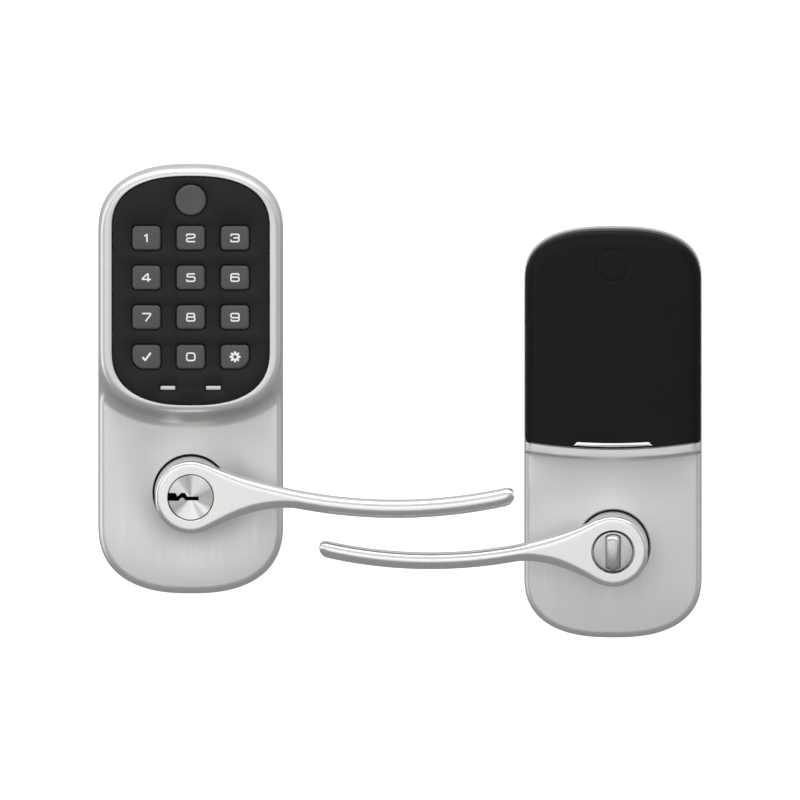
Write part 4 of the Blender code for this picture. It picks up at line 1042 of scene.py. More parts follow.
cast_nickel = grained(
    "satin_nickel_lever", colour=(0.74, 0.735, 0.725), roughness=0.25, metallic=1.0,
    stretch=(1.2, 1.2, 1.2), streak=0.03, cloud=0.04, spread=0.08, cloud_scale=0.05, relief=0.002,
)
bore = [
    (0, SLEEVE_END - 3),
    (SLEEVE_BORE, SLEEVE_END - 3),
    (SLEEVE_BORE, CYLINDER_BACK - 2),
    (CYLINDER_SOCKET, CYLINDER_BACK - 2),
    (CYLINDER_SOCKET, HUB_FACE - 0.2),
    (CYLINDER_SOCKET + 0.2, HUB_FACE),
    (CYLINDER_SOCKET + 0.2, HUB_FACE + 3),
    (0, HUB_FACE + 3),
]
exterior_handle = lever_piece(
    "exterior_handle", (0.0, 0.0), 1, EXTERIOR_ARM, EXTERIOR_HUB, bore, cast_nickel
)
shown(exterior_handle, "exterior_lever", "satin_nickel", "exterior_lever")


# Key cylinder: a nickel-faced plug that turns in a brass shell inside the hub. The face is spun
# to a shallow cone with painted highlight wedges in its colour, and the keyway is broached through
# it, its walls painted dark as shade.

PLUG_RADIUS = 6.4
CYLINDER_RADIUS = 9.0
SHELL_FRONT = 55.1
PLUG_FRONT = 56.9
PLUG_EDGE = 8.75
PLUG_DISH = 0.35
KEYWAY_DEEP = 30.0
CHAMBER_HALF = 3.1

spun_nickel = grained(
    "spun_nickel_face_painted_highlights", colour=(0.84, 0.835, 0.825), roughness=0.3, metallic=1.0,
    stretch=(0.6, 0.6, 0.6), streak=0.04, cloud=0.03, spread=0.08, cloud_scale=0.1, relief=0.001,
)
spun_tree = spun_nickel.node_tree
spun_shader = spun_tree.nodes["Principled BSDF"]
spun_shader.inputs["Anisotropic"].default_value = 0.7
spun_shader.inputs["Anisotropic Rotation"].default_value = 0.25
spun_tangent = spun_tree.nodes.new("ShaderNodeTangent")
spun_tangent.direction_type = "RADIAL"
spun_tangent.axis = "Y"
spun_tree.links.new(spun_tangent.outputs["Tangent"], spun_shader.inputs["Tangent"])
# Painted highlights: the base colour is lighter and darker in fixed wedges about the plug's axis,
# standing in for the sunburst of reflections on a spun face.
PAINTED_HIGHLIGHT_WEDGES = (
    (0.0, 0.62),
    (0.10, 0.45),
    (0.17, 0.9),
    (0.29, 1.0),
    (0.335, 0.66),
    (0.385, 0.98),
    (0.44, 0.5),
    (0.54, 0.48),
    (0.60, 0.82),
    (0.65, 1.0),
    (0.715, 1.0),
    (0.77, 0.55),
    (0.825, 0.68),
    (0.875, 1.0),
    (0.93, 0.85),
    (1.0, 0.62),
)
about = spun_tree.nodes.new("ShaderNodeMapping")
about.inputs["Rotation"].default_value = (-pi / 2, 0.0, 0.0)
painted_wedge_coords = spun_tree.nodes.new("ShaderNodeTexCoord")
spun_tree.links.new(painted_wedge_coords.outputs["Object"], about.inputs["Vector"])
painted_wedge_angle = spun_tree.nodes.new("ShaderNodeTexGradient")
painted_wedge_angle.gradient_type = "RADIAL"
spun_tree.links.new(about.outputs["Vector"], painted_wedge_angle.inputs["Vector"])
painted_wedge_ramp = spun_tree.nodes.new("ShaderNodeValToRGB")
painted_wedge_ramp.color_ramp.interpolation = "EASE"
stops = painted_wedge_ramp.color_ramp.elements
stops[0].color = (PAINTED_HIGHLIGHT_WEDGES[0][1],) * 3 + (1.0,)
stops[1].color = (PAINTED_HIGHLIGHT_WEDGES[-1][1],) * 3 + (1.0,)
for place_round, tone in PAINTED_HIGHLIGHT_WEDGES[1:-1]:
    stops.new(place_round).color = (tone, tone, tone, 1.0)
spun_tree.links.new(painted_wedge_angle.outputs["Fac"], painted_wedge_ramp.inputs["Fac"])
# The painted highlight wedges scale the grain's colour.
painted_wedge_colour = spun_tree.nodes.new("ShaderNodeVectorMath")
painted_wedge_colour.operation = "MULTIPLY"
spun_grain = next(node for node in spun_tree.nodes if node.type == "GROUP")
spun_tree.links.new(spun_grain.outputs["Colour"], painted_wedge_colour.inputs[0])
spun_tree.links.new(painted_wedge_ramp.outputs["Color"], painted_wedge_colour.inputs[1])
spun_tree.links.new(painted_wedge_colour.outputs["Vector"], spun_shader.inputs["Base Color"])
# Painted shade: the walls of the keyway and the key entry are near black, for the shade inside the
# narrow slot.
keyway_painted_shade = grained(
    "keyway_shadow", colour=(0.006, 0.006, 0.006), roughness=0.9, metallic=0.0,
    stretch=(0.5, 0.5, 0.5), streak=0.3, cloud=0.1, spread=0.05, cloud_scale=0.1, relief=0.002,
)
brass = grained(
    "machined_brass", colour=(0.72, 0.55, 0.25), roughness=0.32, metallic=1.0,
    stretch=(0.5, 6.0, 0.5), streak=0.1, cloud=0.08, spread=0.15, cloud_scale=0.1, relief=0.004,
)
# The keyway from its entry at the rim to its far end: straight, with a jog for the key's wards.
KEYWAY = [
    (-9.4, -1.35),
    (-5.0, -1.35),
    (-3.8, -0.1),
    (-3.1, -0.1),
    (-2.1, -1.1),
    (3.2, -1.1),
    (3.2, 0.4),
    (-1.4, 0.4),
    (-2.3, 1.9),
    (-3.8, 1.9),
    (-5.3, 0.45),
    (-6.2, 1.9),
    (-9.4, 1.9),
]
profile = [
    (0, CYLINDER_BACK - 1),
    (PLUG_RADIUS, CYLINDER_BACK - 1),
    (PLUG_RADIUS, SHELL_FRONT + 0.3),
    (CYLINDER_RADIUS, SHELL_FRONT + 0.3),
    (CYLINDER_RADIUS, PLUG_FRONT - 0.2),
    (PLUG_EDGE, PLUG_FRONT),
]
profile += [(r, PLUG_FRONT - PLUG_DISH * (1 - r / PLUG_EDGE)) for r in (7.0, 5.0, 3.0, 1.2, 0.5)]
profile += [(0, PLUG_FRONT - PLUG_DISH)]
plug = turned("key_plug", (0.0, 0.0), profile, spun_nickel)
keyway_edge = np.array(KEYWAY)
sections = [(PLUG_FRONT - KEYWAY_DEEP, keyway_edge), (PLUG_FRONT + 3, keyway_edge)]
keyway = lofted("keyway", sections, keyway_painted_shade)
plug = combined(plug, ("DIFFERENCE", keyway), keep_inside=True)
shown(plug, "cylinder_plug", "polished_nickel", "cylinder_plug")

profile = [
    (PLUG_RADIUS + 0.1, CYLINDER_BACK),
    (CYLINDER_RADIUS, CYLINDER_BACK),
    (CYLINDER_RADIUS, SHELL_FRONT),
    (PLUG_RADIUS + 0.1, SHELL_FRONT),
]
shell = turned("cylinder_barrel", (0.0, 0.0), profile, brass)
chamber_far = EXTERIOR_HUB - 2.4
chamber_near = PLUG_RADIUS + 0.6
middle = ((chamber_far + chamber_near) / 2, 0.0)
chamber = rounded_rectangle(chamber_far - chamber_near, 2 * CHAMBER_HALF, (0.4,) * 4, middle, 3)
tower = lofted("pin_chamber", [(CYLINDER_BACK + 4, chamber), (CYLINDER_BACK + 24, chamber)], brass)
entry_edge = np.array([(-10.0, -1.3), (-5.4, -1.3), (-5.4, 1.9), (-10.0, 1.9)])
entry = lofted(
    "key_entry", [(SHELL_FRONT - 9, entry_edge), (SHELL_FRONT + 3, entry_edge)], keyway_painted_shade
)
shell = combined(shell, ("UNION", tower), ("DIFFERENCE", entry), keep_inside=True)
shown(shell, "exterior_lever", "brass", "cylinder_shell")


# Interior escutcheon: a second casting, with the lever's plate below, a bright strip across it,
# and above that the low ledge and the raised tray housing that the battery cover slides over.

INTERIOR_AXIS = (168.9, -21.7)
INTERIOR_HALF = 35.5
INTERIOR_LOW = -36.6
INTERIOR_HIGH = 127.6
INTERIOR_LOW_ARCH = (24.8, 2.5)
INTERIOR_HIGH_ARCH = (22.0, 2.65)
INTERIOR_BEVEL = 2.6
SMILE_LOW = 39.8
SMILE_RISE = 2.9
STRIP_HIGH = 3.9
STRIP_FRONT = 27.3
STRIP_ROUND = 0.9
STRIP_TOP_ROUND = 0.25
STRIP_END_ROUND = 4.2
STRIP_END_DROP = 3.4
STRIP_FILLET = 1.6
LEDGE = 12.0
HOUSING_FRONT = 26.3
HOUSING_INSET = 2.8
HOUSING_ARCH = (21.0, 2.65)
BAY_FLOOR = 10.6
BAY_HALF = 31.2
BAY_LOW = 53.1
BAY_HIGH = 111.6
STEP = 0.03
ROSE_INTERIOR = 14.7
ROSE_CHAMFER = 0.5
INTERIOR_WALL = 1.3


def inside_axis(loop):
    """A loop given from the interior lever's axis, put in its place."""
    return np.asarray(loop, float) + INTERIOR_AXIS


def smile(half, low, steps=40):
    """Curved line across the interior half, lowest in the middle, from left to right."""
    across = np.linspace(-half, half, steps + 1)
    return [(x, low + SMILE_RISE * (x / INTERIOR_HALF) ** 2) for x in across]


interior_edge = inside_axis(
    body_outline(INTERIOR_HALF, INTERIOR_LOW, INTERIOR_HIGH, INTERIOR_LOW_ARCH, INTERIOR_HIGH_ARCH)
)
strip_span = INTERIOR_HALF + 3.0
strip_top = SMILE_LOW - GAP
strip_edge = smile(strip_span, strip_top - STRIP_HIGH) + smile(strip_span, strip_top)[::-1]
strip_edge = inside_axis(spaced(strip_edge))
housing_half = INTERIOR_HALF - HOUSING_INSET
housing_top = INTERIOR_HIGH - HOUSING_INSET
housing_edge = [(-housing_half, SMILE_LOW - 2.0), (housing_half, SMILE_LOW - 2.0)]
housing_edge += arch(housing_half, housing_top - HOUSING_ARCH[0], *HOUSING_ARCH, 1)
housing_edge = inside_axis(spaced(housing_edge))
bay_middle = (0.0, (BAY_LOW + BAY_HIGH) / 2)
bay_edge = inside_axis(rounded_rectangle(2 * BAY_HALF, BAY_HIGH - BAY_LOW, (2.5,) * 4, bay_middle))
interior_rose = ring(ROSE_INTERIOR, INTERIOR_AXIS)


def interior_height(spots):
    """Out of the door: plate, strip, ledge, housing and battery bay."""
    from_side = depth_inside(spots, interior_edge)
    plate = PLATE_FRONT - rounding(from_side, INTERIOR_BEVEL, INTERIOR_BEVEL)
    above = spots[:, 1] > INTERIOR_AXIS[1] + SMILE_LOW - GAP - STRIP_HIGH / 2
    in_strip = depth_inside(spots, strip_edge)
    fillet = np.clip(-in_strip / STRIP_FILLET, 0, 1)
    plate += STRIP_FILLET * (1 - np.sqrt(1 - (1 - fillet) ** 2))
    plate -= np.clip(ROSE_CHAMFER + depth_inside(spots, interior_rose), 0, ROSE_CHAMFER)
    across = (spots[:, 0] - INTERIOR_AXIS[0]) / INTERIOR_HALF
    below_top = INTERIOR_AXIS[1] + SMILE_LOW - GAP + SMILE_RISE * across**2 - spots[:, 1]
    strip = STRIP_FRONT - rounding(below_top, STRIP_TOP_ROUND, STRIP_TOP_ROUND)
    strip -= rounding(STRIP_HIGH - below_top, STRIP_ROUND, STRIP_ROUND)
    strip -= rounding(from_side, STRIP_END_ROUND, STRIP_END_DROP)
    in_housing = depth_inside(spots, housing_edge)
    upper = np.where(in_housing > -STEP / 2, HOUSING_FRONT, LEDGE)
    upper = np.where(depth_inside(spots, bay_edge) > STEP / 2, BAY_FLOOR, upper)
    return np.where(in_strip > -STEP / 2, strip, np.where(above, upper, plate))


plan = [interior_edge]
plan += [inset(interior_edge, INTERIOR_BEVEL * s) for s in ROUND_SHARES]
plan += [ring(ROSE_INTERIOR + d, INTERIOR_AXIS) for d in (0, ROSE_CHAMFER)]
plan += [housing_edge, inset(housing_edge, -STEP), bay_edge, inset(bay_edge, STEP)]
crossing = [strip_edge, inset(strip_edge, -STEP)]
crossing += [inset(strip_edge, STRIP_ROUND * s) for s in ROUND_SHARES[:-1]]
crossing += [inset(strip_edge, STRIP_TOP_ROUND * s) for s in (0.1, 0.35, 1.0)]
crossing += [inset(strip_edge, -STRIP_FILLET * s) for s in (0.08, 0.2, 0.4, 0.65, 1.0)]
interior_casting = casting(
    "interior_casting",
    plan,
    interior_edge,
    [interior_rose],
    interior_height,
    out_span("interior_escutcheon")[0],
    INTERIOR_WALL,
    brushed_nickel,
    crossing=crossing,
)
shown(interior_casting, "housings", "satin_nickel", "interior_escutcheon")


# Battery cover: a black moulded shell, open below, that slides up off the battery housing. Its
# top and sides round over softly, and a blank round mark is sunk near the top.

COVER_FRONT = 28.8
COVER_BACK = 12.3
COVER_INSET = 0.3
COVER_WALL = 1.9
COVER_ROUND = 5.6
COVER_DROP = 2.9
COVER_LOW_ROUND = 0.45
COVER_CORNER = 1.0
MARK_RADIUS = 6.4
MARK_HALF = 0.45
MARK_HEIGHT = 113.0
MARK_DEEP = 0.12
GRIP_HALF = 15.9
GRIP_TALL = 1.75
GRIP_BRIDGE = 0.6
GRIP_SLOPE = 1.4
GRIP_CLEAR = 0.12

cover_half = INTERIOR_HALF - COVER_INSET
cover_high = INTERIOR_HIGH - COVER_INSET
cover_top = arch(cover_half, cover_high - INTERIOR_HIGH_ARCH[0], *INTERIOR_HIGH_ARCH, 1)
cover_bottom = smile(cover_half - COVER_CORNER, SMILE_LOW)
side_low = cover_bottom[-1][1] + COVER_CORNER
cover_edge = cover_bottom + [(cover_half, side_low)] + list(cover_top) + [(-cover_half, side_low)]
cover_edge = inside_axis(spaced(cover_edge))
cover_sides = inside_axis([(-cover_half, 0.0), (cover_half, 0.0)] + list(cover_top))


def grip_edge(clear):
    """The grip's outline, made smaller all round by the clearance."""
    low = smile(GRIP_HALF - clear, SMILE_LOW + GRIP_BRIDGE + clear, 20)
    top = SMILE_LOW + GRIP_BRIDGE + GRIP_TALL - clear
    high = smile(GRIP_HALF - GRIP_SLOPE - clear, top, 20)
    return inside_axis(low + high[::-1])


mark_centre = (INTERIOR_AXIS[0], INTERIOR_AXIS[1] + MARK_HEIGHT)
grip_slot = spaced(grip_edge(0.0))


def cover_height(spots):
    """Out of the door: the front, rounded over at the top and sides, less the sunk mark."""
    out = COVER_FRONT - rounding(depth_inside(spots, cover_sides), COVER_ROUND, COVER_DROP)
    out -= rounding(depth_inside(spots, cover_edge), COVER_LOW_ROUND, COVER_LOW_ROUND)
    away = np.hypot(spots[:, 0] - mark_centre[0], spots[:, 1] - mark_centre[1])
    return out - MARK_DEEP * np.clip(1 - np.abs(away - MARK_RADIUS) / MARK_HALF, 0, 1)


def below_cover(middles):
    """The cover's lower edge, which is left open behind."""
    x = middles[:, 0] - INTERIOR_AXIS[0]
    z = middles[:, 1] - INTERIOR_AXIS[1]
    return (np.abs(x) < cover_half - COVER_CORNER) & (z < side_low + 1.0)


cover_plastic = grained(
    "cover_plastic_black", colour=(0.0035, 0.0035, 0.0038), roughness=0.4, metallic=0.0,
    stretch=(0.5, 0.5, 0.5), streak=0.12, cloud=0.2, spread=0.12, cloud_scale=0.06, relief=0.004,
)
cover_plastic.node_tree.nodes["Principled BSDF"].inputs["Specular IOR Level"].default_value = 0.16
plan = [cover_edge]
plan += [inset(cover_edge, COVER_LOW_ROUND * s) for s in (0.1, 0.35, 1.0)]
plan += [inset(cover_edge, COVER_ROUND * s) for s in ROUND_SHARES]
plan += [ring(MARK_RADIUS + d, mark_centre, 0.5) for d in (-2.0, -MARK_HALF, 0, MARK_HALF, 1.2)]
plan += [grip_slot]
cover_shell = casting(
    "battery_cover_shell",
    plan,
    cover_edge,
    [grip_slot],
    cover_height,
    COVER_BACK,
    COVER_WALL,
    cover_plastic,
    below_cover,
)
shown(cover_shell, "battery_cover", "cover_plastic", "battery_cover")

bright_nickel = grained(
    "bright_nickel", colour=(0.86, 0.855, 0.845), roughness=0.2, metallic=1.0,
    stretch=(0.8, 0.8, 0.8), streak=0.04, cloud=0.04, spread=0.08, cloud_scale=0.1, relief=0.001,
)
edge = grip_edge(GRIP_CLEAR)
sections = [(COVER_FRONT - COVER_WALL + 0.1, edge)] + shouldered(edge, COVER_FRONT + 0.3, 0.25, 4)
grip_bar = lofted("cover_grip_bar", sections, bright_nickel, 40)
shown(grip_bar, "battery_cover", "polished_nickel", "cover_grip")


# Interior lever: the same casting turned to the left, slimmer, with a socket in its hub for the
# thumb-turn and a narrow neck behind it for the thumb-turn's rod.

INTERIOR_HUB = 14.1
INTERIOR_ARM = {
    "reach": 117.5, "thick": 6.5, "dip": -3.9, "dip_at": 73.0, "bend": 190.0, "waist": 40.0
}
TURN_RADIUS = 8.05
TURN_SOCKET = 8.55
TURN_NECK = 3.4
TURN_SOCKET_DEEP = 12.0

bore = [
    (0, SLEEVE_END - 3),
    (SLEEVE_BORE, SLEEVE_END - 3),
    (SLEEVE_BORE, CYLINDER_BACK - 6),
    (TURN_NECK, CYLINDER_BACK - 6),
    (TURN_NECK, HUB_FACE - TURN_SOCKET_DEEP),
    (TURN_SOCKET, HUB_FACE - TURN_SOCKET_DEEP),
    (TURN_SOCKET, HUB_FACE - 0.2),
    (TURN_SOCKET + 0.2, HUB_FACE),
    (TURN_SOCKET + 0.2, HUB_FACE + 3),
    (0, HUB_FACE + 3),
]
interior_handle = lever_piece(
    "interior_handle", INTERIOR_AXIS, -1, INTERIOR_ARM, INTERIOR_HUB, bore, cast_nickel
)
shown(interior_handle, "interior_lever", "satin_nickel", "interior_lever")


# Thumb-turn: a nickel disc in the hub with an upright bar across it, tapered to its flat top,
# sloped at the upper end and drawn to a point at the lower one. A steel rod runs through behind.

TURN_FRONT = 56.3
BAR_FRONT = 60.0

turn_nickel = grained(
    "satin_nickel_turn", colour=(0.52, 0.515, 0.51), roughness=0.27, metallic=1.0,
    stretch=(0.6, 0.6, 8.0), streak=0.06, cloud=0.06, spread=0.1, cloud_scale=0.1, relief=0.002,
)
rod_steel = grained(
    "zinc_plated_steel", colour=(0.62, 0.63, 0.64), roughness=0.3, metallic=1.0,
    stretch=(0.6, 3.0, 0.6), streak=0.12, cloud=0.12, spread=0.2, cloud_scale=0.15, relief=0.004,
)
profile = [(0, HUB_FACE - 11.7), (TURN_RADIUS, HUB_FACE - 11.7)]
profile += quarter(TURN_RADIUS, TURN_FRONT, 0.55) + [(0, TURN_FRONT)]
turn_disc = turned("thumb_turn_disc", INTERIOR_AXIS, profile, turn_nickel)


def bar_loop(half, top, point):
    """The bar's outline: round at the top, with a small point in the middle of its lower end."""
    high = [(half * cos(t), top - 1.4 + 1.4 * sin(t)) for t in np.linspace(0, pi, 13)]
    low = [(-half, 1.2 - point), (-0.45 * half, 0.6 - point), (0.0, -point)]
    low += [(0.45 * half, 0.6 - point), (half, 1.2 - point)]
    return inside_axis(high + low)


sections = [
    (TURN_FRONT - 2.0, bar_loop(3.2, 7.2, 7.75)),
    (TURN_FRONT, bar_loop(3.2, 7.2, 7.75)),
    (BAR_FRONT - 1.6, bar_loop(2.82, 6.6, 7.5)),
    (BAR_FRONT - 0.6, bar_loop(2.6, 5.7, 7.2)),
    (BAR_FRONT - 0.15, bar_loop(2.4, 5.0, 6.8)),
    (BAR_FRONT, bar_loop(2.15, 4.5, 6.4)),
]
turn_disc = combined(turn_disc, ("UNION", lofted("thumb_turn_bar", sections, turn_nickel)))
shown(turn_disc, "thumb_turn", "polished_nickel", "thumb_turn")

rod_end = out_span("thumb_turn_spindle")[0]
rod_front = HUB_FACE - TURN_SOCKET_DEEP
profile = [(0, rod_end), (2.3, rod_end), (2.8, rod_end + 0.5), (2.8, rod_front), (0, rod_front)]
turn_rod = turned("thumb_turn_rod", INTERIOR_AXIS, profile, rod_steel, 48)
flat = rounded_rectangle(7.0, 2.0, (0.1,) * 4, (INTERIOR_AXIS[0], INTERIOR_AXIS[1] + 3.0), 2)
flat_low = rounded_rectangle(7.0, 2.0, (0.1,) * 4, (INTERIOR_AXIS[0], INTERIOR_AXIS[1] - 3.0), 2)
cuts = [
    ("DIFFERENCE", lofted(f"rod_flat_{n}", [(rod_end - 2, edge), (8.0, edge)], rod_steel))
    for n, edge in enumerate((flat, flat_low))
]
turn_rod = combined(turn_rod, *cuts)
shown(turn_rod, "thumb_turn", "zinc_plated_steel", "thumb_turn_spindle")


# Lever bearings, springs and retainers: in each half a brass ring carries the lever's sleeve, a
# pressed steel cage round it holds the return spring, and a split ring keeps the sleeve in.

RUNNING = 0.1
BEARING_RADIUS = 13.2
BEARING_BACK = 6.4
BEARING_FRONT = 13.0
OIL_GROOVE = (9.2, 10.2, 0.5)  # from, to and how deep
CAGE_RADIUS = 19.8
CAGE_BACK = 6.0
CAGE_FRONT = 13.1
CAGE_SHEET = 1.1
CAGE_LID = 1.4
CAGE_NOTCH = 2.6
SPRING_MIDDLE = 16.65
SPRING_WIRE = 0.7
SPRING_TURNS = 2.5
SPINDLE_RADIUS = 4.8
SPINDLE_BORE = 3.6
SPINDLE_END = -22.0
SPINDLE_FLANGE = (8.0, 12.0)
SPLIT_RING = (5.15, 5.95)
WASHER = (13.18, 13.5)
WASHER_RADIUS = 17.6


def coil_group():
    """Geometry Nodes: round wire wound into a coil, cylindrical or conical, set at a place."""
    tree = bpy.data.node_groups.new("wound_wire", "GeometryNodeTree")
    kinds = {
        "Turns": "NodeSocketFloat",
        "Start Radius": "NodeSocketFloat",
        "End Radius": "NodeSocketFloat",
        "Height": "NodeSocketFloat",
        "Wire": "NodeSocketFloat",
        "Tilt": "NodeSocketVector",
        "Place": "NodeSocketVector",
        "Finish": "NodeSocketMaterial",
    }
    tree.interface.new_socket("Geometry", in_out="INPUT", socket_type="NodeSocketGeometry")
    keys = {key: input_socket(tree, key, kind).identifier for key, kind in kinds.items()}
    tree.interface.new_socket("Geometry", in_out="OUTPUT", socket_type="NodeSocketGeometry")
    add = tree.nodes.new
    link = tree.links.new
    given = add("NodeGroupInput")
    spiral = add("GeometryNodeCurveSpiral")
    spiral.inputs["Resolution"].default_value = 32
    link(given.outputs["Turns"], spiral.inputs["Rotations"])
    link(given.outputs["Start Radius"], spiral.inputs["Start Radius"])
    link(given.outputs["End Radius"], spiral.inputs["End Radius"])
    link(given.outputs["Height"], spiral.inputs["Height"])
    section = add("GeometryNodeCurvePrimitiveCircle")
    section.inputs["Resolution"].default_value = 12
    link(given.outputs["Wire"], section.inputs["Radius"])
    wire = add("GeometryNodeCurveToMesh")
    wire.inputs["Fill Caps"].default_value = True
    link(spiral.outputs["Curve"], wire.inputs["Curve"])
    link(section.outputs["Curve"], wire.inputs["Profile Curve"])
    moved = add("GeometryNodeTransform")
    link(wire.outputs["Mesh"], moved.inputs["Geometry"])
    link(given.outputs["Tilt"], moved.inputs["Rotation"])
    link(given.outputs["Place"], moved.inputs["Translation"])
    real = add("GeometryNodeRealizeInstances")
    link(moved.outputs["Geometry"], real.inputs["Geometry"])
    finish = add("GeometryNodeSetMaterial")
    link(real.outputs["Geometry"], finish.inputs["Geometry"])
    link(given.outputs["Finish"], finish.inputs["Material"])
    result = add("NodeGroupOutput")
    link(finish.outputs["Geometry"], result.inputs["Geometry"])
    return tree, keys


COIL, COIL_KEYS = coil_group()
FACING_OUT = (pi / 2, 0.0, 0.0)


def coiled(name, turns, radii, height, wire, spot, tilt, finish):
    """A coil of wire from the group above, as plain mesh; sizes in millimetres."""
    piece = bpy.data.objects.new(name, bpy.data.meshes.new(name))
    scene.collection.objects.link(piece)
    step = piece.modifiers.new("coil", "NODES")
    step.node_group = COIL
    values = {
        "Turns": float(turns),
        "Start Radius": radii[0] * MM,
        "End Radius": radii[1] * MM,
        "Height": height * MM,
        "Wire": wire * MM,
        "Tilt": tilt,
        "Place": place(*spot),
        "Finish": finish,
    }
    for key, value in values.items():
        step[COIL_KEYS[key]] = value
    return outwards(settled(piece))


def chamfered(profile, size=0.25):
    """A turned profile with each of its square corners cut off at the given size."""
    result = []
    count = len(profile)
    for i, point in enumerate(profile):
        if point[0] < 1e-6:
            result.append(point)
            continue
        here = Vector(point)
        for other in (profile[i - 1], profile[(i + 1) % count]):
            way = Vector(other) - here
            result.append(tuple(here + way.normalized() * min(size, way.length / 3)))
    return result


black_rubber = grained(
    "black_rubber", colour=(0.018, 0.018, 0.019), roughness=0.72, metallic=0.0,
    stretch=(0.6, 0.6, 0.6), streak=0.3, cloud=0.3, spread=0.15, cloud_scale=0.1, relief=0.01,
)
spring_steel = grained(
    "spring_steel", colour=(0.5, 0.505, 0.515), roughness=0.28, metallic=1.0,
    stretch=(0.4, 0.4, 0.4), streak=0.15, cloud=0.15, spread=0.2, cloud_scale=0.2, relief=0.003,
)
for half, centre, body in (
    ("exterior", (0.0, 0.0), "exterior_lever"),
    ("interior", INTERIOR_AXIS, "interior_lever"),
):
    inner = SLEEVE + RUNNING
    groove_low, groove_high, groove_deep = OIL_GROOVE
    profile = [
        (inner, BEARING_BACK),
        (BEARING_RADIUS, BEARING_BACK),
        (BEARING_RADIUS, groove_low),
        (BEARING_RADIUS - groove_deep, groove_low),
        (BEARING_RADIUS - groove_deep, groove_high),
        (BEARING_RADIUS, groove_high),
        (BEARING_RADIUS, BEARING_FRONT),
        (inner, BEARING_FRONT),
    ]
    bearing = turned(f"{half}_bearing_ring", centre, chamfered(profile), brass)
    shown(bearing, "housings", "brass", f"{half}_bearing")

    bore = BEARING_RADIUS + GAP
    profile = [
        (bore, CAGE_BACK),
        (bore + CAGE_SHEET, CAGE_BACK),
        (bore + CAGE_SHEET, CAGE_FRONT - CAGE_LID),
        (CAGE_RADIUS - CAGE_SHEET, CAGE_FRONT - CAGE_LID),
        (CAGE_RADIUS - CAGE_SHEET, CAGE_BACK),
        (CAGE_RADIUS, CAGE_BACK),
        (CAGE_RADIUS, CAGE_FRONT),
        (bore, CAGE_FRONT),
    ]
    cage = turned(f"{half}_cage", centre, chamfered(profile, 0.4), rod_steel)
    notches = []
    for number in range(4):
        angle = pi / 4 + number * pi / 2
        spot = (centre[0] + CAGE_RADIUS * cos(angle), centre[1] + CAGE_RADIUS * sin(angle))
        shape = rounded_rectangle(CAGE_NOTCH, CAGE_NOTCH, (0.5,) * 4, spot, 4)
        sections = [(CAGE_BACK - 1, shape), (CAGE_BACK + 3, shape)]
        notches.append(("DIFFERENCE", lofted(f"notch_{number}", sections, rod_steel)))
    shown(combined(cage, *notches), "housings", "zinc_plated_steel", f"{half}_spring_cage")

    low = CAGE_BACK + SPRING_WIRE + 0.2
    high = CAGE_FRONT - CAGE_LID - SPRING_WIRE - 0.2
    spring = coiled(
        f"{half}_spring",
        SPRING_TURNS,
        (SPRING_MIDDLE, SPRING_MIDDLE),
        high - low,
        SPRING_WIRE,
        (centre[0], low, centre[1]),
        FACING_OUT,
        spring_steel,
    )
    shown(spring, "housings", "zinc_plated_steel", f"{half}_return_spring")

    inner = SLEEVE - GROOVE_DEEP + 0.25
    outer = SLEEVE + 1.6
    low, high = SPLIT_RING
    profile = [(inner, low), (outer, low), (outer, high), (inner, high)]
    retainer = turned(f"{half}_split_ring", centre, chamfered(profile, 0.12), spring_steel)
    mouth = rounded_rectangle(6.0, 8.0, (0.1,) * 4, (centre[0], centre[1] - SLEEVE - 1.0), 2)
    mouth = lofted("mouth", [(3.0, mouth), (8.0, mouth)], spring_steel)
    retainer = combined(retainer, ("DIFFERENCE", mouth))
    shown(retainer, body, "zinc_plated_steel", f"{half}_retaining_ring")

    inner = SLEEVE + 0.25
    low, high = WASHER
    profile = [(inner, low), (WASHER_RADIUS, low), (WASHER_RADIUS, high), (inner, high)]
    washer = turned(f"{half}_dust_washer", centre, chamfered(profile, 0.08), black_rubber)
    shown(washer, "housings", "rubber")

    flange = SLEEVE_BORE - GAP
    low, high = SPINDLE_FLANGE
    profile = [
        (SPINDLE_BORE, SPINDLE_END), (SPINDLE_RADIUS, SPINDLE_END), (SPINDLE_RADIUS, low),
        (flange, low), (flange, high), (SPINDLE_BORE, high),
    ]
    spindle = turned(f"{half}_drive_tube", centre, chamfered(profile, 0.3), rod_steel, 64)
    slit = rounded_rectangle(1.6, 14.0, (0.1,) * 4, centre, 2)
    slit = lofted("tube_slit", [(SPINDLE_END - 2, slit), (SPINDLE_END + 9, slit)], rod_steel)
    shown(combined(spindle, ("DIFFERENCE", slit)), body, "zinc_plated_steel", f"{half}_spindle")

# The flat blade that the key turns runs back through the drive tube, notched to snap to length.
blade_front = CYLINDER_BACK - 1 - GAP
blade_end = out_span("cylinder_tailpiece")[0]
wide_loop = rounded_rectangle(6.0, 1.4, (0.25,) * 4, (0.0, 0.0), 3)
thin_loop = rounded_rectangle(5.0, 1.0, (0.2,) * 4, (0.0, 0.0), 3)
sections = [(blade_end, thin_loop), (blade_end + 0.4, wide_loop)]
for out in np.arange(blade_end + 4, -4.0, 4.0):
    sections += [(out - 0.3, wide_loop), (out, thin_loop), (out + 0.3, wide_loop)]
sections += [(blade_front, wide_loop)]
blade = lofted("tail_blade", sections, rod_steel, 25)
shown(blade, "cylinder_plug", "zinc_plated_steel", "cylinder_tailpiece")


# Gasket and back plates: a soft rubber seal behind the exterior half, and in each half a steel
# sheet, stamped with holes for the sleeve, the fixings and the cable, that screws to the door.

SCREW_APART = 60.0
SCREW_DROP = 14.0
SCREW_RADIUS = 1.4
POST_APART = 38.1
POST_RADIUS = 3.0
BOLT_RADIUS = 2.2
CABLE_SLOT = (16.0, 9.0, 24.0)
SEAL_BEAD = 0.25
SHEET_BEVEL = 0.12

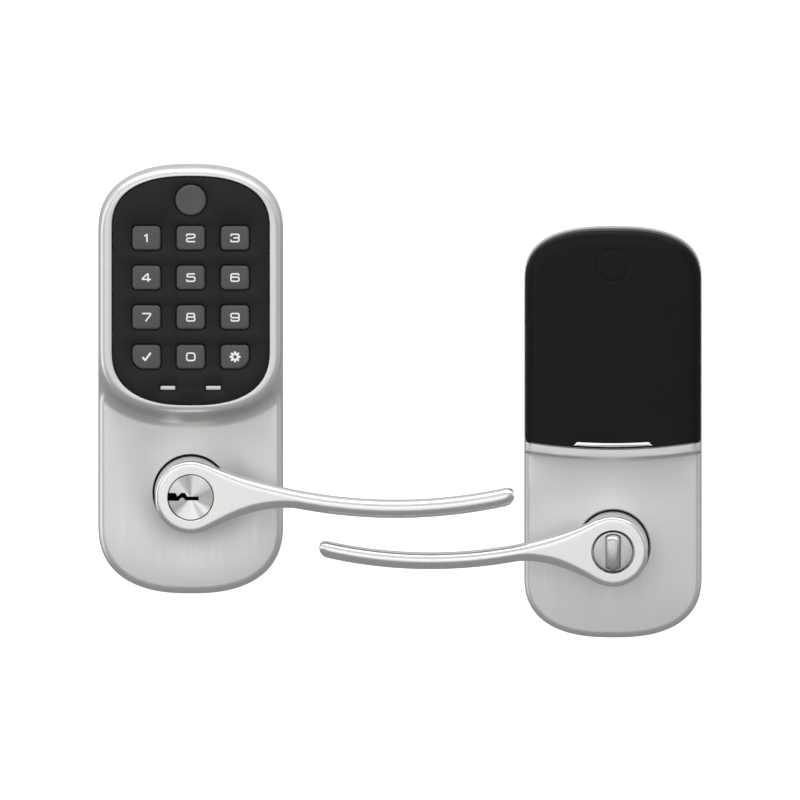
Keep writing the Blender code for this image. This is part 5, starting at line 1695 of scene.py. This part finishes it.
seal_front = out_span("exterior_gasket")[1]
work = bmesh.new()
band = [
    (0.6, 0.25), (0.6, seal_front - 0.25), (0.85, seal_front), (4.35, seal_front),
    (4.6, seal_front - 0.25), (4.6, 0.25), (4.35, 0.0), (3.2, 0.0), (2.9, SEAL_BEAD),
    (2.3, SEAL_BEAD), (2.0, 0.0), (0.85, 0.0),
]
rows = []
for depth, out in band:
    loop = inset(exterior_edge, depth)
    rows.append([work.verts.new(place(x, out, z)) for x, z in loop])
for low, high in zip(rows, rows[1:] + rows[:1]):
    for i, vertex in enumerate(low):
        work.faces.new((low[i - 1], vertex, high[i], high[i - 1]))
seal = piece_from("rim_seal", work, black_rubber)
shown(seal, "housings", "rubber", "exterior_gasket")


def stamped(name, outline, holes, back, front, finish, *cutters):
    """A flat sheet with holes; its edges are broken by a small bevel."""
    spots, triangles = plan_faces([outline, *holes], outline, holes)
    work = bmesh.new()
    vertices = [work.verts.new(place(x, front, z)) for x, z in spots]
    for a, b, c in triangles:
        work.faces.new((vertices[a], vertices[b], vertices[c]))
    bmesh.ops.delete(work, geom=[v for v in work.verts if not v.link_faces], context="VERTS")
    bmesh.ops.recalc_face_normals(work, faces=work.faces)
    if next(iter(work.faces)).normal.y > 0:
        bmesh.ops.reverse_faces(work, faces=work.faces)
    piece = standing(name, work, finish)
    thick = piece.modifiers.new("sheet", "SOLIDIFY")
    thick.thickness = (front - back) * MM
    thick.offset = -1.0
    edge_cut = piece.modifiers.new("edge", "BEVEL")
    edge_cut.width = SHEET_BEVEL * MM
    edge_cut.segments = 1
    edge_cut.limit_method = "ANGLE"
    edge_cut.angle_limit = radians(50)
    settled(piece)
    outwards(piece)
    return combined(piece, *[("DIFFERENCE", cutter) for cutter in cutters]) if cutters else piece


def post_spots(centre):
    """Where the posts and their bolts stand, on both sides of the lever's axis."""
    return [(centre[0] + side * POST_APART / 2, centre[1]) for side in (-1, 1)]


def sheet_holes(centre):
    """Holes that both sheets share: for the sleeve and for the cable between the halves."""
    wide, high, rise = CABLE_SLOT
    slot = rounded_rectangle(wide, high, (3.0,) * 4, (centre[0], centre[1] + rise))
    return [ring(SLEEVE + 2.2, centre), slot]


screw_spots = [(side * SCREW_APART / 2, -SCREW_DROP) for side in (-1, 1)]
sheet_back, sheet_front = out_span("exterior_back_plate")
holes = sheet_holes((0.0, 0.0))
holes += [ring(POST_RADIUS + GAP, spot, 0.5) for spot in post_spots((0.0, 0.0))]
holes += [ring(SCREW_RADIUS + GAP, spot, 0.5) for spot in screw_spots]
seat = [
    (0, sheet_back - 1), (3.1, sheet_back - 1), (3.1, sheet_back + 0.2), (1.7, sheet_back + 1.6),
    (0, sheet_back + 1.6),
]
seats = [turned(f"seat_{n}", spot, seat, rod_steel, 48) for n, spot in enumerate(screw_spots)]
edge = inset(exterior_edge, CASTING_WALL + GAP)
sheet = stamped("exterior_sheet", edge, holes, sheet_back, sheet_front, rod_steel, *seats)
shown(sheet, "housings", "zinc_plated_steel", "exterior_back_plate")

sheet_back, sheet_front = out_span("interior_mounting_plate")
holes = sheet_holes(INTERIOR_AXIS)
holes += [ring(BOLT_RADIUS + GAP, spot, 0.5) for spot in post_spots(INTERIOR_AXIS)]
edge = inset(interior_edge, CASTING_WALL + GAP)
sheet = stamped("interior_sheet", edge, holes, sheet_back, sheet_front, rod_steel)
shown(sheet, "housings", "zinc_plated_steel", "interior_mounting_plate")


# Fixings: two countersunk screws at the exterior rim, two internally threaded posts that pass
# through the door, and from the inside two slotted bolts that draw into them.

POST_END = -26.0
POST_BORE = 2.2
BOLT_HEAD = 4.2
THREAD_PITCH = 0.8
THREAD_DEEP = 0.25


def copies_group():
    """Geometry Nodes: a copy of one piece at every vertex, realized and given its finish."""
    tree = bpy.data.node_groups.new("copies_at_spots", "GeometryNodeTree")
    tree.interface.new_socket("Geometry", in_out="INPUT", socket_type="NodeSocketGeometry")
    keys = {
        "Piece": input_socket(tree, "Piece", "NodeSocketObject").identifier,
        "Finish": input_socket(tree, "Finish", "NodeSocketMaterial").identifier,
    }
    tree.interface.new_socket("Geometry", in_out="OUTPUT", socket_type="NodeSocketGeometry")
    link = tree.links.new
    given = tree.nodes.new("NodeGroupInput")
    model = tree.nodes.new("GeometryNodeObjectInfo")
    link(given.outputs["Piece"], model.inputs["Object"])
    points = tree.nodes.new("GeometryNodeMeshToPoints")
    link(given.outputs["Geometry"], points.inputs["Mesh"])
    copies = tree.nodes.new("GeometryNodeInstanceOnPoints")
    link(points.outputs["Points"], copies.inputs["Points"])
    link(model.outputs["Geometry"], copies.inputs["Instance"])
    real = tree.nodes.new("GeometryNodeRealizeInstances")
    link(copies.outputs["Instances"], real.inputs["Geometry"])
    finish = tree.nodes.new("GeometryNodeSetMaterial")
    link(real.outputs["Geometry"], finish.inputs["Geometry"])
    link(given.outputs["Finish"], finish.inputs["Material"])
    result = tree.nodes.new("NodeGroupOutput")
    link(finish.outputs["Geometry"], result.inputs["Geometry"])
    return tree, keys


COPIES, COPIES_KEYS = copies_group()


def copied(name, spots, model, finish):
    """One piece made of copies of the model at each (x, out, z); the model itself is removed."""
    mesh = bpy.data.meshes.new(name)
    mesh.from_pydata([place(*spot) for spot in spots], [], [])
    piece = bpy.data.objects.new(name, mesh)
    scene.collection.objects.link(piece)
    step = piece.modifiers.new("copies", "NODES")
    step.node_group = COPIES
    step[COPIES_KEYS["Piece"]] = model
    step[COPIES_KEYS["Finish"]] = finish
    settled(piece)
    bpy.data.objects.remove(model)
    return smooth(piece)


def thread(radius, start, end):
    """Profile points of ridges from start to end."""
    steps = int((end - start) / THREAD_PITCH)
    points = []
    for i in range(steps):
        at = start + i * THREAD_PITCH
        points += [(radius - THREAD_DEEP, at), (radius, at + THREAD_PITCH / 2)]
    return points + [(radius - THREAD_DEEP, start + steps * THREAD_PITCH)]


screw_low, screw_high = out_span("exterior_screw_left")
profile = [(0, screw_low), (2.7, screw_low), (2.8, screw_low + 0.1)]
profile += thread(SCREW_RADIUS, screw_low + 1.6, screw_high - 0.4)
profile += [(0.8, screw_high), (0, screw_high)]
screw = turned("rim_screw", (0.0, 0.0), profile, rod_steel, 40)
cross = [rounded_rectangle(a, b, (0.1,) * 4, (0.0, 0.0), 2) for a, b in ((3.0, 0.7), (0.7, 3.0))]
cross = [
    lofted(f"cross_{n}", [(screw_low - 1, c), (screw_low + 1.0, c)], rod_steel)
    for n, c in enumerate(cross)
]
screw = combined(screw, *[("DIFFERENCE", c) for c in cross])
spots = [(x, 0.0, z) for x, z in screw_spots]
screws = copied("rim_screws", spots, screw, rod_steel)
shown(screws, "housings", "zinc_plated_steel", "exterior_screw_left", "exterior_screw_right")

post_front = out_span("exterior_post_left")[1]
profile = [
    (0, post_front), (POST_RADIUS + 0.9, post_front), (POST_RADIUS + 1.2, post_front - 0.3),
    (POST_RADIUS + 1.2, post_front - 1.4), (POST_RADIUS, post_front - 1.4),
    (POST_RADIUS, POST_END + 0.4), (POST_RADIUS - 0.4, POST_END), (POST_BORE + 0.2, POST_END),
]
profile += [(r + THREAD_DEEP, out) for r, out in thread(POST_BORE, POST_END + 0.4, -4.4)]
profile.append((0, -4.0))
post = turned("threaded_post", (0.0, 0.0), profile, rod_steel, 40)
spots = [(x, 0.0, z) for x, z in post_spots((0.0, 0.0))]
posts = copied("threaded_posts", spots, post, rod_steel)
shown(posts, "housings", "zinc_plated_steel", "exterior_post_left", "exterior_post_right")

head_back = out_span("interior_mounting_plate")[1] + GAP
profile = [(0, POST_END), (BOLT_RADIUS - 0.5, POST_END)] + thread(BOLT_RADIUS, POST_END + 0.3, -6.0)
profile += [
    (BOLT_RADIUS, -5.5), (BOLT_RADIUS, head_back), (BOLT_HEAD, head_back),
    (BOLT_HEAD, head_back + 1.3), (BOLT_HEAD - 0.3, head_back + 1.9),
    (BOLT_HEAD - 1.2, head_back + 2.5), (0, head_back + 2.6),
]
bolt = turned("slotted_bolt", (0.0, 0.0), profile, rod_steel, 40)
slot = rounded_rectangle(1.2, 12.0, (0.1,) * 4, (0.0, 0.0), 2)
slot = lofted("bolt_slot", [(head_back + 1.4, slot), (head_back + 5, slot)], rod_steel)
spots = [(x, 0.0, z) for x, z in post_spots(INTERIOR_AXIS)]
bolts = copied("slotted_bolts", spots, combined(bolt, ("DIFFERENCE", slot)), rod_steel)
shown(bolts, "housings", "zinc_plated_steel", "through_bolt_left", "through_bolt_right")


# Keypad electronics: a rubber sheet with a dome under each key, the circuit board that the domes
# press on, and a small round speaker behind the board.

DOME_RADIUS = 3.0
CHIP_CORNER = 0.15

sheet_back, dome_top = out_span("keypad_membrane")
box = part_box("keypad_membrane")
sheet_low = box[0].z / MM
sheet_high = box[1].z / MM
sheet_wide = 2 * box[1].x / MM
middle = (0.0, (sheet_low + sheet_high) / 2)
loop = rounded_rectangle(sheet_wide, sheet_high - sheet_low, (4.0, 4.0, 19.0, 19.0), middle)
sections = [(sheet_back, inset(loop, 0.15)), (sheet_back + 0.15, loop)]
sections += shouldered(loop, dome_top - 1.0, 0.2, 3)
membrane = lofted("membrane_sheet", sections, black_rubber)
profile = [
    (0, -1.4), (DOME_RADIUS, -1.4), (DOME_RADIUS, -1.0), (DOME_RADIUS - 0.5, -0.75), (1.9, -0.35),
    (1.75, -0.08), (1.6, 0.0), (1.2, 0.0), (1.1, -0.1), (0, -0.1),
]
dome = turned("dome", (0.0, 0.0), profile, black_rubber, 24)
spots = [(x, dome_top, z) for x, z in [*key_centres.values(), wake_centre]]
domes = copied("membrane_domes", spots, dome, black_rubber)
shown(membrane, "housings", "rubber", "keypad_membrane")
shown(domes, "housings", "rubber", "keypad_membrane")

board_green = grained(
    "circuit_board_green", colour=(0.012, 0.11, 0.045), roughness=0.35, metallic=0.0,
    stretch=(1.2, 1.2, 1.2), streak=0.5, cloud=0.3, spread=0.2, cloud_scale=0.2, relief=0.01,
)
chip_black = grained(
    "moulded_chip_black", colour=(0.02, 0.02, 0.021), roughness=0.5, metallic=0.0,
    stretch=(0.3, 0.3, 0.3), streak=0.3, cloud=0.2, spread=0.15, cloud_scale=0.1, relief=0.006,
)
tinned = grained(
    "tinned_copper", colour=(0.72, 0.71, 0.68), roughness=0.33, metallic=1.0,
    stretch=(0.4, 0.4, 0.4), streak=0.15, cloud=0.1, spread=0.15, cloud_scale=0.1, relief=0.004,
)


def boxed(name, wide, high, back, front, finish):
    """A board component: a small box with its corners and front edges rounded."""
    loop = rounded_rectangle(wide, high, (CHIP_CORNER,) * 4, (0.0, 0.0), 2)
    return lofted(name, [(back, loop)] + shouldered(loop, front, CHIP_CORNER * 0.9, 2), finish)


def grid(across, up, centre, pitch, out):
    """Spots of a regular field of board components."""
    return [
        (
            centre[0] + (i - (across - 1) / 2) * pitch[0],
            out,
            centre[1] + (j - (up - 1) / 2) * pitch[1],
        )
        for i in range(across)
        for j in range(up)
    ]


board_back, board_front = out_span("keypad_circuit_board")
board_edge = inset(fascia_edge, 3.0)
sections = [
    (board_back, inset(board_edge, 0.1)), (board_back + 0.1, board_edge),
    (board_front - 0.1, board_edge), (board_front, inset(board_edge, 0.1)),
]
board = lofted("keypad_board", sections, board_green)
shown(board, "housings", "circuit_board", "keypad_circuit_board")
speaker_high = (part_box("speaker")[0].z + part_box("speaker")[1].z) / 2 / MM
low_field = (0.0, fascia_low + 14.0)
spots = grid(2, 1, low_field, (18.0, 1.0), board_back + 0.1)
chip = boxed("chip", 8, 8, -1.2, 0, chip_black)
chips = copied("keypad_chips", spots, chip, chip_black)
shown(chips, "housings", "circuit_board", "keypad_circuit_board")
spots = grid(8, 3, (0.0, fascia_low + 26.0), (5.2, 3.4), board_back + 0.1)
resistor = boxed("resistor", 1.6, 0.9, -0.5, 0, tinned)
parts = copied("keypad_small_parts", spots, resistor, tinned)
shown(parts, "housings", "circuit_board", "keypad_circuit_board")

cone_back, cone_front = out_span("speaker")
profile = [
    (0, cone_back), (4.65, cone_back), (4.95, cone_back + 0.3), (4.95, cone_back + 2.2),
    (6.4, cone_back + 3.0), (8.7, cone_front - 2.0), (9.0, cone_front - 1.7),
    (9.0, cone_front - 0.2), (8.8, cone_front), (8.1, cone_front), (7.6, cone_front - 0.35),
    (7.0, cone_front - 0.1), (6.4, cone_front - 0.35), (2.6, cone_front - 1.3),
    (2.2, cone_front - 1.0), (1.2, cone_front - 0.6), (0, cone_front - 0.5),
]
sounder = turned("speaker_cone", (0.0, speaker_high), profile, rod_steel, 64)
shown(sounder, "housings", "zinc_plated_steel", "speaker")


# Battery tray: a black moulded box with low ribs between four upright cells. Every second cell
# is turned over; a nickel strip at each end carries coil springs and raised pads for them.

CELL_RADIUS = 7.1
CELL_LONG = 50.3
CELL_PITCH = 15.0
BUTTON_HIGH = 1.2
BAND_FOOT = 36.0
TRAY_WALL = 0.9
TRAY_CORNER = 2.2
STRIP_THICK = 0.5
CONTACT_TURNS = 3.2
CONTACT_RADII = (4.6, 2.4)
CONTACT_TALL = 1.55
CONTACT_WIRE = 0.24
CONTACT_FOOT = 0.65

tray_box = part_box("battery_tray")
tray_floor, tray_front = out_span("battery_tray")
tray_wide = (tray_box[1].x - tray_box[0].x) / MM
tray_low = tray_box[0].z / MM
tray_high = tray_box[1].z / MM
tray_centre = (INTERIOR_AXIS[0], (tray_low + tray_high) / 2)
tray_black = grained(
    "tray_plastic_black", colour=(0.014, 0.014, 0.015), roughness=0.5, metallic=0.0,
    stretch=(0.4, 0.4, 0.4), streak=0.25, cloud=0.2, spread=0.15, cloud_scale=0.06, relief=0.008,
)
outer = rounded_rectangle(tray_wide, tray_high - tray_low, (TRAY_CORNER,) * 4, tray_centre)
inner = inset(outer, TRAY_WALL)
floor_out = tray_floor + TRAY_WALL
sections = [
    (tray_floor, inset(outer, 0.3)), (tray_floor + 0.3, outer), (tray_front - 0.15, outer),
    (tray_front, inset(outer, 0.15)), (tray_front, inset(inner, -0.15)), (tray_front - 0.15, inner),
    (floor_out + 0.3, inner), (floor_out, inset(inner, 0.3)),
]
tray = lofted("cell_tray", sections, tray_black)
shown(tray, "housings", "tray_plastic", "battery_tray")

rib = rounded_rectangle(1.0, tray_high - tray_low - 16.0, (0.3,) * 4, (0.0, 0.0), 3)
rib = lofted("rib", [(-0.2, rib), (1.3, rib), (1.6, inset(rib, 0.25))], tray_black)
spots = [(tray_centre[0] + CELL_PITCH * i, floor_out, tray_centre[1]) for i in (-1, 0, 1)]
shown(copied("tray_ribs", spots, rib, tray_black), "housings", "tray_plastic", "battery_tray")

cell_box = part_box("battery_1")
cell_out = -(cell_box[0].y + cell_box[1].y) / 2 / MM
cell_low = cell_box[0].z / MM
wrap = grained(
    "printed_cell_wrap", colour=(0.03, 0.032, 0.036), roughness=0.28, metallic=0.0,
    stretch=(6.0, 6.0, 0.5), streak=0.3, cloud=0.15, spread=0.12, cloud_scale=0.1, relief=0.002,
)
band = grained(
    "copper_coloured_wrap", colour=(0.62, 0.30, 0.12), roughness=0.3, metallic=0.6,
    stretch=(6.0, 6.0, 0.5), streak=0.2, cloud=0.1, spread=0.12, cloud_scale=0.1, relief=0.002,
)


def upright(name, profile, finish, over=False, sides=48):
    """Solid of revolution that stands on its foot; profile is (radius, height) points."""
    piece = turned(name, (0.0, 0.0), profile, finish, sides)
    for vertex in piece.data.vertices:
        x, y, z = vertex.co
        up = -y
        vertex.co = (x, z, CELL_LONG * MM - up) if over else (x, -z, up)
    return outwards(piece)


body_high = CELL_LONG - BUTTON_HIGH
parts = (
    (
        "can",
        tinned,
        [(0, 0), (5.9, 0), (6.3, 0.25), (6.3, body_high - 0.15), (6.0, body_high), (0, body_high)],
    ),
    (
        "button",
        tinned,
        [
            (0, body_high - 0.5), (2.7, body_high - 0.5), (2.7, CELL_LONG - 0.25),
            (2.45, CELL_LONG), (0, CELL_LONG),
        ],
    ),
    (
        "wrap",
        wrap,
        [(5.7, 0.12), (6.9, 0.12), (CELL_RADIUS, 0.4), (CELL_RADIUS, BAND_FOOT), (6.2, BAND_FOOT)],
    ),
    (
        "band",
        band,
        [
            (6.2, BAND_FOOT), (CELL_RADIUS, BAND_FOOT), (CELL_RADIUS, body_high - 0.35),
            (6.9, body_high - 0.05), (5.8, body_high - 0.05),
        ],
    ),
)
for part, finish, profile in parts:
    for way, over in (("upright", False), ("inverted", True)):
        columns = [-0.5, 1.5] if over else [-1.5, 0.5]
        spots = [(tray_centre[0] + CELL_PITCH * c, cell_out, cell_low) for c in columns]
        model = upright(f"cell_{part}", profile, finish, over)
        cells = copied(f"cell_{part}s_{way}", spots, model, finish)
        shown(cells, "housings", "cell_wrap", "battery_1", "battery_2", "battery_3", "battery_4")

for end, sign in (("lower", 1), ("upper", -1)):
    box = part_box(f"battery_contacts_{end}")
    strip_wall = box[0].z / MM if sign > 0 else box[1].z / MM
    strip_wide = (box[1].x - box[0].x) / MM
    work = bmesh.new()
    rows = []
    outline = rounded_rectangle(strip_wide, 10.0, (1.5,) * 4, (0.0, 0.0), 5)
    for high, less in ((0.0, 0.1), (0.1, 0.0), (STRIP_THICK - 0.1, 0.0), (STRIP_THICK, 0.1)):
        rows.append(
            [
                work.verts.new(place(tray_centre[0] + x, cell_out + y, strip_wall + sign * high))
                for x, y in inset(outline, less)
            ]
        )
    for low, high in zip(rows, rows[1:]):
        for i, vertex in enumerate(low):
            work.faces.new((low[i - 1], vertex, high[i], high[i - 1]))
    work.faces.new(rows[0])
    work.faces.new(rows[-1])
    strip = piece_from(f"contact_strip_{end}", work, bright_nickel)
    shown(strip, "housings", "polished_nickel", f"battery_contacts_{end}")
    springs = [-1.5, 0.5] if sign > 0 else [-0.5, 1.5]
    for number, column in enumerate(springs):
        coil = coiled(
            f"contact_spring_{end}_{number}",
            CONTACT_TURNS,
            CONTACT_RADII,
            CONTACT_TALL,
            CONTACT_WIRE,
            (tray_centre[0] + CELL_PITCH * column, cell_out, strip_wall + sign * CONTACT_FOOT),
            (0.0 if sign > 0 else pi, 0.0, 0.0),
            bright_nickel,
        )
        shown(coil, "housings", "polished_nickel", f"battery_contacts_{end}")
    pads = [-0.5, 1.5] if sign > 0 else [-1.5, 0.5]
    profile = [(0, 0.3), (4.0, 0.3), (3.6, 0.9), (2.6, 1.9), (2.2, 2.2), (0, 2.25)]
    pad = upright("contact_pad", profile, bright_nickel, False, 40)
    if sign < 0:
        for vertex in pad.data.vertices:
            vertex.co = (vertex.co.x, -vertex.co.y, -vertex.co.z)
    spots = [(tray_centre[0] + CELL_PITCH * c, cell_out, strip_wall) for c in pads]
    pads = copied(f"contact_pads_{end}", spots, pad, bright_nickel)
    shown(pads, "housings", "polished_nickel", f"battery_contacts_{end}")


# Interior electronics: the lock's main circuit board lies flat behind the battery housing, with
# its chips, small parts and the socket for the cable from the keypad.

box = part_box("interior_circuit_board")
board_back, board_front = out_span("interior_circuit_board")
board_middle = (INTERIOR_AXIS[0], (box[0].z + box[1].z) / 2 / MM)
board_wide = (box[1].x - box[0].x) / MM
board_high = (box[1].z - box[0].z) / MM
edge = rounded_rectangle(board_wide, board_high, (2.0,) * 4, board_middle)
sections = [
    (board_back, inset(edge, 0.1)), (board_back + 0.1, edge), (board_front - 0.1, edge),
    (board_front, inset(edge, 0.1)),
]
board = lofted("main_board", sections, board_green)
shown(board, "housings", "circuit_board", "interior_circuit_board")
out = board_front - 0.05
fields = (
    (
        "main_chips",
        grid(2, 2, (board_middle[0], board_middle[1] + 8), (22, 20), out),
        (9, 9, 1.2),
        chip_black,
    ),
    (
        "main_small_parts",
        grid(9, 6, (board_middle[0], board_middle[1] - 14), (5.4, 3.6), out),
        (1.6, 0.9, 0.5),
        tinned,
    ),
    (
        "cable_socket",
        [(board_middle[0], out, board_middle[1] - board_high / 2 + 5)],
        (12, 4, 3.2),
        cap_plastic,
    ),
)
for name, spots, (wide, high, tall), finish in fields:
    field = copied(name, spots, boxed("component", wide, high, 0, tall, finish), finish)
    shown(field, "housings", "circuit_board", "interior_circuit_board")


# Clutch drive: a small motor beside the interior lever's cage turns a lead screw, and the brass
# slider that rides on it locks or frees the exterior lever.

DRIVE_OUT = 7.8
DRIVE_HEIGHT = 3.1
MOTOR_RADIUS = 4.8
RIDGE_TURNS = 11
RIDGE_RADIUS = 1.3
RIDGE_WIRE = 0.28


def along(name, profile, finish, sides=48):
    """Solid of revolution about the drive's axis; profile is (radius, place along X)."""
    piece = turned(name, (0.0, 0.0), profile, finish, sides)
    for vertex in piece.data.vertices:
        x, y, z = vertex.co
        vertex.co = (-y, x - DRIVE_OUT * MM, z + DRIVE_HEIGHT * MM)
    return outwards(piece)


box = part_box("clutch_motor")
near = box[0].x / MM
far = box[1].x / MM
profile = [
    (0, near), (2.2, near), (2.4, near + 0.4), (4.2, near + 0.4), (MOTOR_RADIUS, near + 1.0),
    (MOTOR_RADIUS, far - 3.2), (4.55, far - 3.1), (4.55, far - 2.8), (MOTOR_RADIUS, far - 2.7),
    (MOTOR_RADIUS, far - 0.7), (4.3, far - 0.2), (1.4, far - 0.2), (1.2, far), (0, far),
]
shown(along("drive_motor", profile, rod_steel), "housings", "zinc_plated_steel", "clutch_motor")

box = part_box("clutch_screw")
near = box[0].x / MM
far = box[1].x / MM
profile = [(0, near), (1.0, near), (1.25, near + 0.25), (1.25, far - 0.25), (1.0, far), (0, far)]
core = along("screw_core", profile, rod_steel, 32)
shown(core, "clutch_screw", "zinc_plated_steel", "clutch_screw")
ridge = coiled(
    "screw_ridge",
    RIDGE_TURNS,
    (RIDGE_RADIUS, RIDGE_RADIUS),
    far - near - 1.0,
    RIDGE_WIRE,
    (near + 0.5, DRIVE_OUT, DRIVE_HEIGHT),
    (0.0, pi / 2, 0.0),
    rod_steel,
)
shown(ridge, "clutch_screw", "zinc_plated_steel", "clutch_screw")

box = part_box("clutch_slider")
wide = (box[1].x - box[0].x) / MM
high = (box[1].z - box[0].z) / MM
centre = ((box[0].x + box[1].x) / 2 / MM, (box[0].z + box[1].z) / 2 / MM)
back, front = out_span("clutch_slider")
edge = rounded_rectangle(wide, high, (0.8,) * 4, centre, 5)
sections = [
    (back, inset(edge, 0.3)), (back + 0.3, edge), (front - 0.3, edge), (front, inset(edge, 0.3))
]
block = lofted("slider_block", sections, brass)
near = centre[0] - 9
far = centre[0] + 9
profile = [(0, near), (1.9, near), (1.9, far), (0, far)]
bore = along("slider_hole", profile, brass, 32)
groove = rounded_rectangle(1.4, high + 4, (0.2,) * 4, centre, 3)
groove = lofted("slider_groove", [(front - 0.8, groove), (front + 3, groove)], brass)
block = combined(block, ("DIFFERENCE", bore), ("DIFFERENCE", groove))
shown(block, "clutch_slider", "brass", "clutch_slider")
